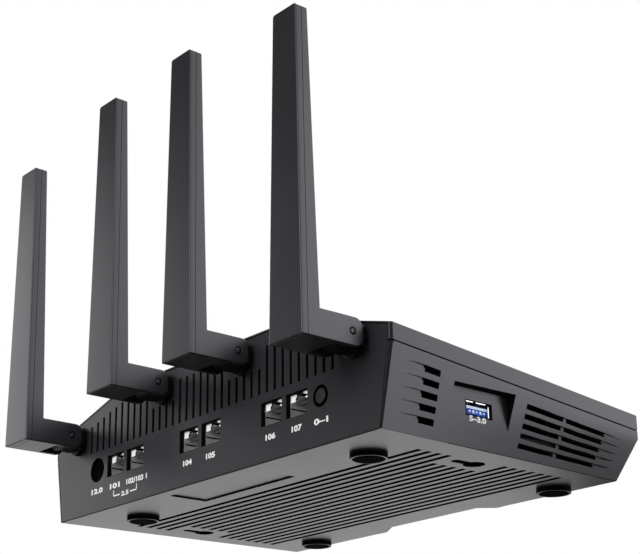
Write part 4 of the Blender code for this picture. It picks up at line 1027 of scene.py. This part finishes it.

# %% [markdown]
# Three rules sort the edges and faces. On the housing, the faces of the side walls are the
# main plastic all the way, also where a vent or a rounded edge has left small pieces of them,
# while the sides of the foot rings, the ceiling and ends of the USB pocket and small sloping
# slivers are painted shade.

# %% Which edges are rounded, and how the faces are sorted
def on_outline(edge, outside, seen):
    """Whether an edge lies between outside faces, or at the floor between faces that are seen."""
    at_floor = all(abs(v.co.z - FLOOR) < 0.15 * mm for v in edge.verts)
    return all(face in (seen if at_floor else outside) for face in edge.link_faces)


def stays_crisp(edge):
    """Whether an edge belongs to the top of the lip or to the step at the front."""
    lip = all(abs(v.co.z - LIP_TOP) < 2 * HAIR for v in edge.verts)
    return lip or all(v.co.z < STEP_TOP and v.co.y < STEP_BACK and abs(v.co.x) < STEP_HALF
                      for v in edge.verts)


def sort_housing_faces(bm):
    """Choose the finish of the housing's faces after its edges are rounded, with painted shade where
    little light falls.
    """
    for face in bm.faces:
        middle, normal = face.calc_center_median(), face.normal
        pocket = inside_box(middle, POCKET_LOW, POCKET_HIGH)
        wall = is_wall(normal)
        slope = normal.z < -0.5 and abs(normal.x) > 0.15
        if wall and not pocket and abs(middle.x) > SIDE_START and middle.x * normal.x > 0:
            face.material_index = MAIN
        elif middle.z < FLOOR - 0.3 * mm:
            face.material_index = MAIN if normal.z < -0.3 else SHADED
        elif pocket and abs(normal.x) < 0.3:
            face.material_index = SHADED
        elif slope and not wall and face.material_index == MAIN and face.calc_area() < SLIVER:
            face.material_index = SHADED


print("outline tools ready")

# %% [markdown]
# Both shells go through the same steps: the outline is found, rounded and sorted into
# finishes, with painted shade on the faces that don't look out and on the rear corners. The
# housing also has its vents worked on first, its rounded edges painted as a dark line of shade,
# and its walls smoothed last.

# %% Round the outlines of the housing and the cover
for node, name, slot, width, floor_z, up in (
    ("lower_housing", "case_housing", "housing_plastic", 0.38 * mm, FLOOR - 0.1 * mm, -1),
    ("top_cover", "case_cover", "cover_plastic", 0.25 * mm, -1.0, 1),
):
    bm = from_solid(node)
    housing = node == "lower_housing"
    if housing:
        bm = set_back_ribs(set_back_ribs(bm, -1), 1)
        bm.normal_update()
        print(relieve_slots(bm), "slot walls moved")
    bm.normal_update()
    outside = outside_faces(bm, floor_z)
    seen = open_faces(bm, up) | outside
    # Faces that don't look out are painted shade.
    for face in bm.faces:
        face.material_index = MAIN if face in seen else SHADED
    outline = sharp_edges(bm, lambda e: on_outline(e, outside, seen) and not stays_crisp(e), 14)
    made = rounded(bm, outline, width, clamp=False)
    if housing:
        # The housing's rounded outline is painted as a dark line of shade.
        for face in made:
            face.material_index = EDGE_SHADE
        bm.normal_update()
        grid_walls(bm)
        sort_housing_faces(bm)
    # The rear corner faces are painted as a line of shade too.
    for face in bm.faces:
        if face.normal.y > 0.5 and abs(face.normal.x) > 0.4 and face.material_index == MAIN:
            face.material_index = EDGE_SHADE
    print(name, len(outline), "edges rounded,", len(bm.faces), "faces")
    piece = finish_piece(name, bm, slot, replaces=[node], smooth=0, more=(shaded, seam_and_edge_shade))
    if housing:
        print(smooth_walls(piece.data), "wall faces shaded as one sheet")

# %% [markdown]
# The socket panel is flat, so only the rims of its openings are rounded. The rims, and the
# faces behind the panel's front inside the openings, are painted shade. Its lower edge meets
# the lip of the housing.

# %% Round the rims of the socket panel
bm = from_solid("rear_panel")
panel_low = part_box("rear_panel")[0]
for vert in bm.verts:
    if vert.co.z < panel_low.z + HAIR:
        vert.co.z = LIP_TOP + 0.05 * mm
bm.normal_update()
# Faces behind the front are painted shade, and the rounded rims a dark line of shade.
for face in bm.faces:
    face.material_index = MAIN if lowest(face, Y) > PANEL_FACE - HAIR else SHADED
rim = sharp_edges(bm, lambda e: lowest(e, Y) > PANEL_FACE - HAIR
                  and highest(e, Z) > LIP_TOP + 0.2 * mm, 30)
for face in rounded(bm, rim, 0.2 * mm, 2, clamp=False):
    face.material_index = EDGE_SHADE
print("panel", len(rim), "rim edges,", len(bm.faces), "faces")
finish_piece("socket_panel", bm, "panel_plastic", replaces=["rear_panel"], smooth=0,
             more=(shaded, seam_and_edge_shade))

# %% [markdown]
# ## Network sockets
# A network socket is a folded box of tinned sheet round a pale moulding. Inside its mouth,
# eight plated wires slope back from a comb, a wide notch below takes the plug's latch, a
# seam runs round at half height, and clear windows at the upper corners show the link
# lamps with a painted glow. The box is one block with its front edge rounded, and the mouth
# is cut with a T-shaped tool, so the sheet's rim and the notch come out together.

# %% Network socket sizes and finishes
jacks = sorted(name for name in nodes if name.startswith("network_jack"))
MOUTH_HALF, MOUTH_TOP, MOUTH_LOW = 6.45 * mm, 2.9 * mm, -3.7 * mm
LATCH_HALF, LATCH_LOW = 3.1 * mm, -4.9 * mm
MOUTH_DEPTH = 13.8 * mm
SEAM_LEVEL, SEAM_WIDTH = -0.3 * mm, 0.6 * mm
WIRES, WIRE_PITCH, WIRE_RADIUS = 8, 1.02 * mm, 0.23 * mm
WINDOW_SEATS = ((-6.3, -1.2, 3.05, 5.1), (2.8, 6.5, 2.5, 4.75))
WINDOW_BARS = ((2.9, 6.4, 3.5, 4.65), (3.7, 6.4, 1.9, 3.6), (-4.3, -1.3, 4.15, 5.0),
               (-4.3, -2.5, 2.3, 4.25))
port_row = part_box("power_pin")
PORT_HEIGHT = (port_row[0].z + port_row[1].z) / 2
# The windows glow a little: painted light.
window = plastic("lamp_window_painted_glow", (0.88, 0.88, 0.86), 0.18, depth=0.003, drift=0.04, dust=0.0,
                 glow=(1.0, 1.0, 0.97, 1.0), glow_strength=0.40)
moulding = plastic("pale_moulding", (0.62, 0.62, 0.61), 0.32, depth=0.02, drift=0.5, dust=0.0)
print(len(jacks), "sockets on a row", round(PORT_HEIGHT / mm, 2), "mm high")

# %% [markdown]
# Every size of a socket is measured from the middle of its mouth, on the sheet's front face,
# so one set of numbers serves all of them. Two shallow seats beside the mouth take the lamp
# windows, and a groove all round the inside is the seam of the moulding. The seats and the
# groove's hidden faces are painted shade.

# %% Model a network socket
def about(centre, low, high):
    """Two corners that are given from a centre."""
    return centre + Vector(low), centre + Vector(high)


def socket_box(low, high, centre):
    """Sheet box with a rounded front edge and a T-shaped mouth, lined with the moulding, with painted
    shade in its seats and groove.
    """
    bm = solid(block, low, high)
    soften(bm, 0.35 * mm)
    mouth = solid(block, *about(centre, (-MOUTH_HALF, -MOUTH_DEPTH, MOUTH_LOW),
                                (MOUTH_HALF, mm, MOUTH_TOP)))
    mouth = carve(mouth, block, *about(centre, (-LATCH_HALF, -0.8 * MOUTH_DEPTH, LATCH_LOW),
                                       (LATCH_HALF, mm, MOUTH_LOW + mm)), operation="UNION")
    bm = combine(bm, mouth)
    for x0, x1, z0, z1 in WINDOW_SEATS:
        bm = carve(bm, block, *about(centre, (x0 * mm, -1.2 * mm, z0 * mm), (x1 * mm, mm, z1 * mm)))
    reach = MOUTH_HALF + 0.5 * mm
    bm = carve(bm, block, *about(
        centre, (-reach, -MOUTH_DEPTH - 0.5 * mm, SEAM_LEVEL - SEAM_WIDTH / 2),
        (reach, -0.2 * mm, SEAM_LEVEL + SEAM_WIDTH / 2)))
    lip = sharp_edges(bm, lambda e: lowest(e, Y) > high.y - HAIR)
    rounded(bm, lip, 0.12 * mm, 2, clamp=False)
    bm.normal_update()
    for face in bm.faces:
        middle = face.calc_center_median() - centre
        if abs(middle.x) < reach + 0.1 * mm and middle.y < -0.05 * mm and abs(middle.z) < 5.2 * mm:
            in_groove = abs(middle.z - SEAM_LEVEL) < 0.6 * SEAM_WIDTH
            outside_mouth = abs(middle.x) > MOUTH_HALF + 0.05 * mm or middle.y < -MOUTH_DEPTH - 0.05 * mm
            edge_of_groove = abs(face.normal.z) > 0.5
            in_seat = middle.z > MOUTH_TOP + 0.1 * mm and middle.y < -0.2 * mm
            # Seats and groove are painted shade (finish 2); the rest of the mouth is lined (finish 1).
            dark = in_seat or in_groove and (outside_mouth or edge_of_groove)
            face.material_index = 2 if dark else 1
    return bm


print("socket box ready")

# %% [markdown]
# The comb is one block with a slot for each wire. A wire is two rods with a small ball at
# the bend between them. Each lamp window is an L of two bars.

# %% Model the wires and the windows
def row(count, pitch):
    """The places of equal things in a row, from its middle."""
    return [(i - (count - 1) / 2) * pitch for i in range(count)]


def contact_comb(centre):
    """Moulding at the mouth's ceiling, with a slot for each wire."""
    half = WIRES * WIRE_PITCH / 2 + 0.4 * mm
    bm = solid(block, *about(centre, (-half, -MOUTH_DEPTH + 0.05 * mm, 1.2 * mm),
                             (half, -3.0 * mm, MOUTH_TOP - 0.05 * mm)))
    soften(bm, 0.15 * mm, 2)
    slots = bmesh.new()
    for x in row(WIRES, WIRE_PITCH):
        block(slots, *about(centre, (x - 0.32 * mm, -MOUTH_DEPTH - mm, 0.0),
                            (x + 0.32 * mm, -3.8 * mm, 2.2 * mm)))
    return combine(bm, slots)


def contact_wires(centre):
    """Eight wires that leave the comb's front and slope down to the back of the mouth."""
    bm = bmesh.new()
    for x in row(WIRES, WIRE_PITCH):
        start, bend = about(centre, (x, -3.7 * mm, 1.9 * mm), (x, -4.3 * mm, 1.0 * mm))
        rod(bm, start, bend, WIRE_RADIUS, 8)
        rod(bm, bend, centre + Vector((x, 1.2 * mm - MOUTH_DEPTH, -0.9 * mm)), WIRE_RADIUS, 8)
        bmesh.ops.create_icosphere(bm, subdivisions=1, radius=WIRE_RADIUS,
                                   matrix=Matrix.Translation(bend))
    return bm


def lamp_windows(centre):
    """A clear hook in each upper corner of the mouth: a bar across and a bar down."""
    bm = bmesh.new()
    for x0, x1, z0, z1 in WINDOW_BARS:
        block(bm, *about(centre, (x0 * mm, -0.5 * mm, z0 * mm), (x1 * mm, -0.1 * mm, z1 * mm)))
    soften(bm, 0.15 * mm, 2)
    return bm


for number, jack in enumerate(jacks, 1):
    low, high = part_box(jack)
    centre = Vector(((low.x + high.x) / 2, high.y, PORT_HEIGHT))
    finish_piece(f"network_socket_{number}", socket_box(low, high, centre), "jack_shield",
                 replaces=[jack], more=(moulding, shaded))
    finish_piece(f"contact_comb_{number}", contact_comb(centre), "black_insulator",
                 finish=finishes["lead_jacket"])
    finish_piece(f"contact_wires_{number}", contact_wires(centre), "contact_steel")
    finish_piece(f"lamp_windows_{number}", lamp_windows(centre), "guide_plastic", finish=window)
print(len(jacks), "network sockets with", WIRES, "wires each")

# %% [markdown]
# ## Power socket
# The round power inlet sits close behind its hole: a black moulding with a stepped ring, a
# deep bore and a slim pin with a rounded tip. All but the block is round, so each of those
# shapes is an outline spun about the pin's axis. The bore's is cut from the block, a ring
# closes the gap between the block and the panel, and a thin sleeve is the spring that grips
# the plug. All of them, the metal pin and spring too, take the near-black finish of painted
# shade, so that the deep hole stays dark.

# %% Model the power socket
def lathe(outline, centre, axis=(0, 1, 0), steps=48):
    """A solid spun from an outline of (radius, distance along the axis), both in mm."""
    bm = bmesh.new()
    axis, across = Vector(axis), Vector((1, 0, 0))
    ring = [bm.verts.new(centre + (across * radius + axis * along) * mm) for radius, along in outline]
    line = [bm.edges.new(pair) for pair in zip(ring, ring[1:])]
    bmesh.ops.spin(bm, geom=ring + line, cent=centre, axis=axis, angle=math.tau, steps=steps,
                   use_merge=True)
    bmesh.ops.remove_doubles(bm, verts=bm.verts, dist=0.001 * mm)
    bmesh.ops.recalc_face_normals(bm, faces=bm.faces)
    return bm


jack_low, jack_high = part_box("power_jack")
inlet = Vector(((jack_low.x + jack_high.x) / 2, jack_high.y, PORT_HEIGHT))
bm = solid(block, jack_low, jack_high)
soften(bm, 0.5 * mm)
bore = lathe([(0, 1), (4.3, 1), (4.3, -0.5), (3.6, -0.9), (3.2, -1.3), (3.2, -9.5), (0, -9.5)], inlet)
# The block, the ring, the spring and the pin all take painted shade.
finish_piece("power_socket", combine(bm, bore), "black_insulator", replaces=["power_jack"],
             finish=shaded)
gasket = lathe([(4.4, 0.02), (6.6, 0.02), (6.6, 0.27), (4.4, 0.27), (4.4, 0.02)], inlet)
finish_piece("power_gasket", gasket, "black_insulator", finish=shaded)
spring = lathe([(3.15, -2.2), (2.95, -3.2), (2.85, -5.6), (2.95, -8.6), (3.15, -9.3), (3.15, -2.2)],
               inlet, steps=40)
finish_piece("power_spring", spring, "contact_steel", finish=shaded)

pin_low, pin_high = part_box("power_pin")
tip, root = (pin_high.y - inlet.y) / mm, (pin_low.y - inlet.y) / mm
radius = (pin_high.x - pin_low.x) / 2 / mm
outline = [(0, root), (radius, root)]
outline += [(radius * math.cos(turn), tip - radius + radius * math.sin(turn))
            for turn in (0, math.pi / 6, math.pi / 3)]
pin = lathe(outline + [(0, tip)], inlet, steps=32)
finish_piece("power_pin_tip", pin, "contact_steel", replaces=["power_pin"], finish=shaded)
print("power socket at x =", round(inlet.x / mm, 1), "mm")

# %% [markdown]
# ## USB socket
# The USB socket looks out of a pocket in the side wall. Its shell is folded steel with two
# sprung windows above and two below the blue tongue. The shell is a block with its corners
# rounded, its mouth cut out, and the spring windows cut through the sheet with a bent leaf
# left in each. Parts of its front rim are painted shade: a strip at each end, the bottom, a
# break in the top edge and the top near one end, where the sheet folds back.

# %% Model the USB shell
usb_low, usb_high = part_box("usb_shell")
SHEET, REVEAL = 0.35 * mm, 1.1 * mm
SPAN = usb_high.y - usb_low.y - REVEAL
GAP_START, GAP_END, FOLD_START = 0.32, 0.45, 0.86
FOLD_LEVEL = usb_high.z - 2.4 * SHEET
bm = solid(block, usb_low, usb_high)
soften(bm, 0.6 * mm, 4, lambda e: runs(e, X) > mm)
bm = carve(bm, block, (usb_low.x - mm, usb_low.y + REVEAL + SHEET, usb_low.z + SHEET),
           (usb_high.x - SHEET, usb_high.y - SHEET, usb_high.z - SHEET))
middle = (usb_low.y + usb_high.y + REVEAL) / 2
leaves = [middle - 2.9 * mm, middle + 2.9 * mm]
windows = bmesh.new()
for y in leaves:
    block(windows, (usb_low.x + 1.6 * mm, y - 1.3 * mm, usb_low.z - mm),
          (usb_low.x + 6.0 * mm, y + 1.3 * mm, usb_high.z + mm))
bm = combine(bm, windows)
for y in leaves:
    for level, inward in ((usb_low.z, 1), (usb_high.z, -1)):
        leaf = block(bm, (usb_low.x + 2.0 * mm, y - 0.9 * mm, level),
                     (usb_low.x + 6.2 * mm, y + 0.9 * mm, level + inward * 0.25 * mm))
        for vert in leaf:
            if vert.co.x < usb_low.x + 3 * mm:
                vert.co.z += inward * 0.5 * mm
for share in (GAP_START, GAP_END, FOLD_START, 1.0, SHEET / SPAN):
    slice_through(bm, (0, usb_high.y - share * SPAN, 0), (0, 1, 0))
for level in (usb_low.z + SHEET, usb_high.z - SHEET, FOLD_LEVEL):
    slice_through(bm, (0, 0, level), (0, 0, 1))
# The dark parts of the front rim take painted shade.
for face in bm.faces:
    spot = face.calc_center_median()
    share = (usb_high.y - spot.y) / SPAN
    dark = share > 1 or share < SHEET / SPAN or spot.z < usb_low.z + SHEET
    dark = dark or spot.z > usb_high.z - SHEET and GAP_START < share < GAP_END
    dark = dark or spot.z > FOLD_LEVEL and share > FOLD_START
    face.material_index = 1 if dark and spot.x < usb_low.x + 0.05 * mm else 0
finish_piece("usb_socket", bm, "contact_steel", replaces=["usb_shell"], more=(shaded,))
print("usb shell", [round(side / mm, 1) for side in usb_high - usb_low], "mm")

# %% [markdown]
# The tongue is one block of blue plastic. Its front is sliced in three, so that a pale band
# with a painted highlight that glows a little, and a dark line of painted shade above it, can
# take their own finishes, and its contacts show as small pale pads of two heights with the
# same painted highlight.

# %% Model the USB tongue and its contacts
tongue_low, tongue_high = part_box("usb_insert")
tall = tongue_high.z - tongue_low.z
TONGUE_SPLIT, TONGUE_BAND = tongue_low.z + 0.55 * tall, tongue_low.z + 0.80 * tall
# A pale blue that glows a little: a painted highlight.
pale_blue_highlight = plastic("painted_blue_highlight", (0.62, 0.80, 0.97), 0.25, depth=0.004, dust=0.0,
                    glow=(0.6, 0.8, 1.0, 1.0), glow_strength=0.30)
bm = solid(block, tongue_low, tongue_high)
soften(bm, 0.25 * mm, 3, lambda e: highest(e, X) < tongue_low.x + HAIR)
for level in (TONGUE_SPLIT, TONGUE_BAND):
    slice_through(bm, (0, 0, level), (0, 0, 1))
# The pale band takes the painted highlight, and the strip above it painted shade.
for face in bm.faces:
    spot = face.calc_center_median()
    face.material_index = 0
    if spot.x < tongue_low.x + 0.5 * mm and spot.z > TONGUE_SPLIT:
        face.material_index = 1 if spot.z < TONGUE_BAND else 2
finish_piece("usb_tongue", bm, "usb_insert_plastic", replaces=["usb_insert"], more=(pale_blue_highlight, shaded))

CONTACTS, CONTACT_PITCH, CONTACT_HALF = 5, 1.9 * mm, 0.55 * mm
CONTACT_HEIGHTS = (0.35 * mm, 0.60 * mm)
bm = bmesh.new()
level = tongue_low.z + 0.3 * tall
middle = (tongue_low.y + tongue_high.y) / 2
for i, place in enumerate(row(CONTACTS, CONTACT_PITCH)):
    y, height = middle + place, CONTACT_HEIGHTS[i % 2]
    block(bm, (tongue_low.x - 0.06 * mm, y - CONTACT_HALF, level - height),
          (tongue_low.x + 0.2 * mm, y + CONTACT_HALF, level + height))
soften(bm, 0.08 * mm, 2)
finish_piece("usb_contacts", bm, "contact_steel", finish=pale_blue_highlight)
print("tongue", [round(side / mm, 1) for side in tongue_high - tongue_low], "mm")

# %% [markdown]
# ## Feet and reset button
# Each rubber pad is a shallow disc glued in a raised ring: its face is slightly dished and
# its rim rounded. The reset button is a flat cap that fills most of its hole, with a soft
# edge; all of it behind its face is painted shade. Both are outlines spun round their own axis.

# %% Model the pads and the cap
for name in sorted(n for n in nodes if n.startswith("foot_pad")):
    low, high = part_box(name)
    middle = Vector(((low.x + high.x) / 2, (low.y + high.y) / 2, low.z))
    radius, thick = (high.x - low.x) / 2 / mm, (high.z - low.z) / mm
    pad = lathe([(0, 0.12), (0.55 * radius, 0.08), (0.8 * radius, 0), (radius - 0.35, 0),
                 (radius - 0.1, 0.1), (radius, 0.35), (radius, thick), (0, thick)],
                middle, (0, 0, 1), 64)
    finish_piece(name.replace("foot_pad", "rubber_foot"), pad, "foot_rubber", replaces=[name])

cap_low, cap_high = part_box("reset_button")
cap = Vector(((cap_low.x + cap_high.x) / 2, cap_high.y, PORT_HEIGHT))
CAP_RADIUS, STEM_RADIUS = 3.0, 1.5
flange, root = (cap_high.x - cap_low.x) / 2 / mm, (cap_low.y - cap_high.y) / mm
bm = lathe([(0, root), (STEM_RADIUS, root), (STEM_RADIUS, root + 3.5), (flange, root + 3.5),
            (flange, root + 4.7), (CAP_RADIUS, root + 4.7), (CAP_RADIUS, -0.5),
            (CAP_RADIUS - 0.1, -0.2), (CAP_RADIUS - 0.35, 0), (0.6 * CAP_RADIUS, -0.02),
            (0.3 * CAP_RADIUS, -0.12), (0, -0.14)], cap)
# The cap's side and all behind its face take painted shade.
for face in bm.faces:
    face.material_index = 1 if face.calc_center_median().y < cap.y - 0.16 * mm else 0
finish_piece("reset_cap", bm, "panel_plastic", "reset", ["reset_button"], more=(shaded,))
print("reset cap", [round(side / mm, 2) for side in cap_high - cap_low], "mm")

# %% [markdown]
# ## Printed marks
# The sockets are numbered in thin white ink, which glows a little as painted light. A mark is
# text set flat, turned into a mesh, scaled to its height and width, and then laid on the panel
# a hair above the plastic. As a mesh, its edge stays crisp from near by. One pair of ports
# shares a bracket, which is two strokes with upturned ends.

# %% Ink tools
# The ink's small glow is painted light.
ink = plastic("white_ink_painted_glow", (0.92, 0.92, 0.92), 0.5, depth=0.003, drift=0.06, dust=0.0,
              glow_strength=0.25)
INK_HEIGHT = 0.03 * mm


def raise_ink(bm):
    """Pull every flat face up by the ink's thickness."""
    raised = bmesh.ops.extrude_face_region(bm, geom=bm.faces[:])["geom"]
    tops = [part for part in raised if isinstance(part, bmesh.types.BMVert)]
    bmesh.ops.translate(bm, vec=(0, 0, INK_HEIGHT), verts=tops)
    bmesh.ops.recalc_face_normals(bm, faces=bm.faces)
    return bm


def flat_text(words, width, height):
    """A mesh of text, centred on the origin in the XY plane, with a hair of thickness."""
    curve = bpy.data.curves.new("mark", "FONT")
    curve.body = words
    curve.align_x, curve.align_y = "CENTER", "CENTER"
    curve.offset = 0.04
    curve.resolution_u = 3
    holder = bpy.data.objects.new("mark", curve)
    scene.collection.objects.link(holder)
    seen_by = bpy.context.evaluated_depsgraph_get()
    bm = copied(bpy.data.meshes.new_from_object(holder.evaluated_get(seen_by)))
    bpy.data.objects.remove(holder)
    bmesh.ops.remove_doubles(bm, verts=bm.verts, dist=0.0005)
    low, high = (Vector([pick(v.co[i] for v in bm.verts) for i in (X, Y)]) for pick in (min, max))
    bmesh.ops.translate(bm, vec=(*(low + high) / -2, 0), verts=bm.verts)
    bmesh.ops.scale(bm, vec=(width / (high - low).x, height / (high - low).y, 1), verts=bm.verts)
    return raise_ink(bm)


def stroke(bm, low, high):
    """One printed stroke between two corners in the XY plane."""
    made = bmesh.ops.create_grid(bm, x_segments=1, y_segments=1, size=0.5)["verts"]
    bmesh.ops.scale(bm, vec=(high[0] - low[0], high[1] - low[1], 1), verts=made)
    bmesh.ops.translate(bm, vec=((low[0] + high[0]) / 2, (low[1] + high[1]) / 2, 0), verts=made)


def print_on_panel(name, bm, x, z):
    """Turn a flat mark to face the rear and put it on the socket panel."""
    face_rear = Matrix(((-1, 0, 0), (0, 0, 1), (0, 1, 0))).to_4x4()
    bm.transform(Matrix.Translation((x, PANEL_FACE + HAIR, z)) @ face_rear)
    finish_piece(name, bm, "panel_plastic", finish=ink)


print("ink", INK_HEIGHT / mm, "mm thick")

# %% [markdown]
# The marks stand in one row under the sockets, and the bracket stands lower. Only numbers are
# printed. The mark of the USB socket goes on the floor of its pocket, which a ray finds.

# %% Print the marks
LABEL_ROW, BRACKET_ROW = PORT_HEIGHT - 9.7 * mm, PORT_HEIGHT - 14.3 * mm
LETTER = 2.45 * mm
labels = (("12.0", 79.4, 9.3), ("101", 64.8, 8.0), ("102/103 1", 47.5, 16.0), ("104", 9.4, 6.2),
          ("105", -6.8, 6.2), ("106", -46.3, 6.2), ("107", -62.5, 6.2), ("0–1", -76.9, 8.3))
for number, (words, x, width) in enumerate(labels, 1):
    print_on_panel(f"port_mark_{number}", flat_text(words, width * mm, LETTER), x * mm, LABEL_ROW)

LINE, INNER_END, OUTER_END, UPTURN = 0.27 * mm, 4.0 * mm, 9.1 * mm, 2.5 * mm
bracket = flat_text("2.5", 5.8 * mm, 2.1 * mm)
strokes = bmesh.new()
for side in (-1, 1):
    start, end = sorted((side * INNER_END, side * OUTER_END))
    stroke(strokes, (start, -LINE), (end, LINE))
    stroke(strokes, (side * OUTER_END - LINE, LINE), (side * OUTER_END + LINE, UPTURN))
bracket.from_mesh(stored(raise_ink(strokes), "strokes"))
print_on_panel("port_bracket", bracket, 56.5 * mm, BRACKET_ROW)

USB_MIDDLE, USB_ROW = (shell_box[0].y + shell_box[1].y) / 2, PORT_HEIGHT - 8.6 * mm
walls = from_solid("lower_housing")
start = Vector((-200 * mm, USB_MIDDLE, USB_ROW))
hit = BVHTree.FromBMesh(walls).ray_cast(start, Vector((1, 0, 0)))[0]
walls.free()
bm = flat_text("5–3.0", 9.0 * mm, 2.3 * mm)
face_side = Matrix(((0, 0, -1), (-1, 0, 0), (0, 1, 0))).to_4x4()
bm.transform(Matrix.Translation((hit.x - HAIR, USB_MIDDLE + 0.8 * mm, USB_ROW)) @ face_side)
finish_piece("usb_mark", bm, "housing_plastic", finish=ink)
print(len(labels) + 2, "marks printed; the pocket's floor is at x =", round(hit.x / mm, 2), "mm")
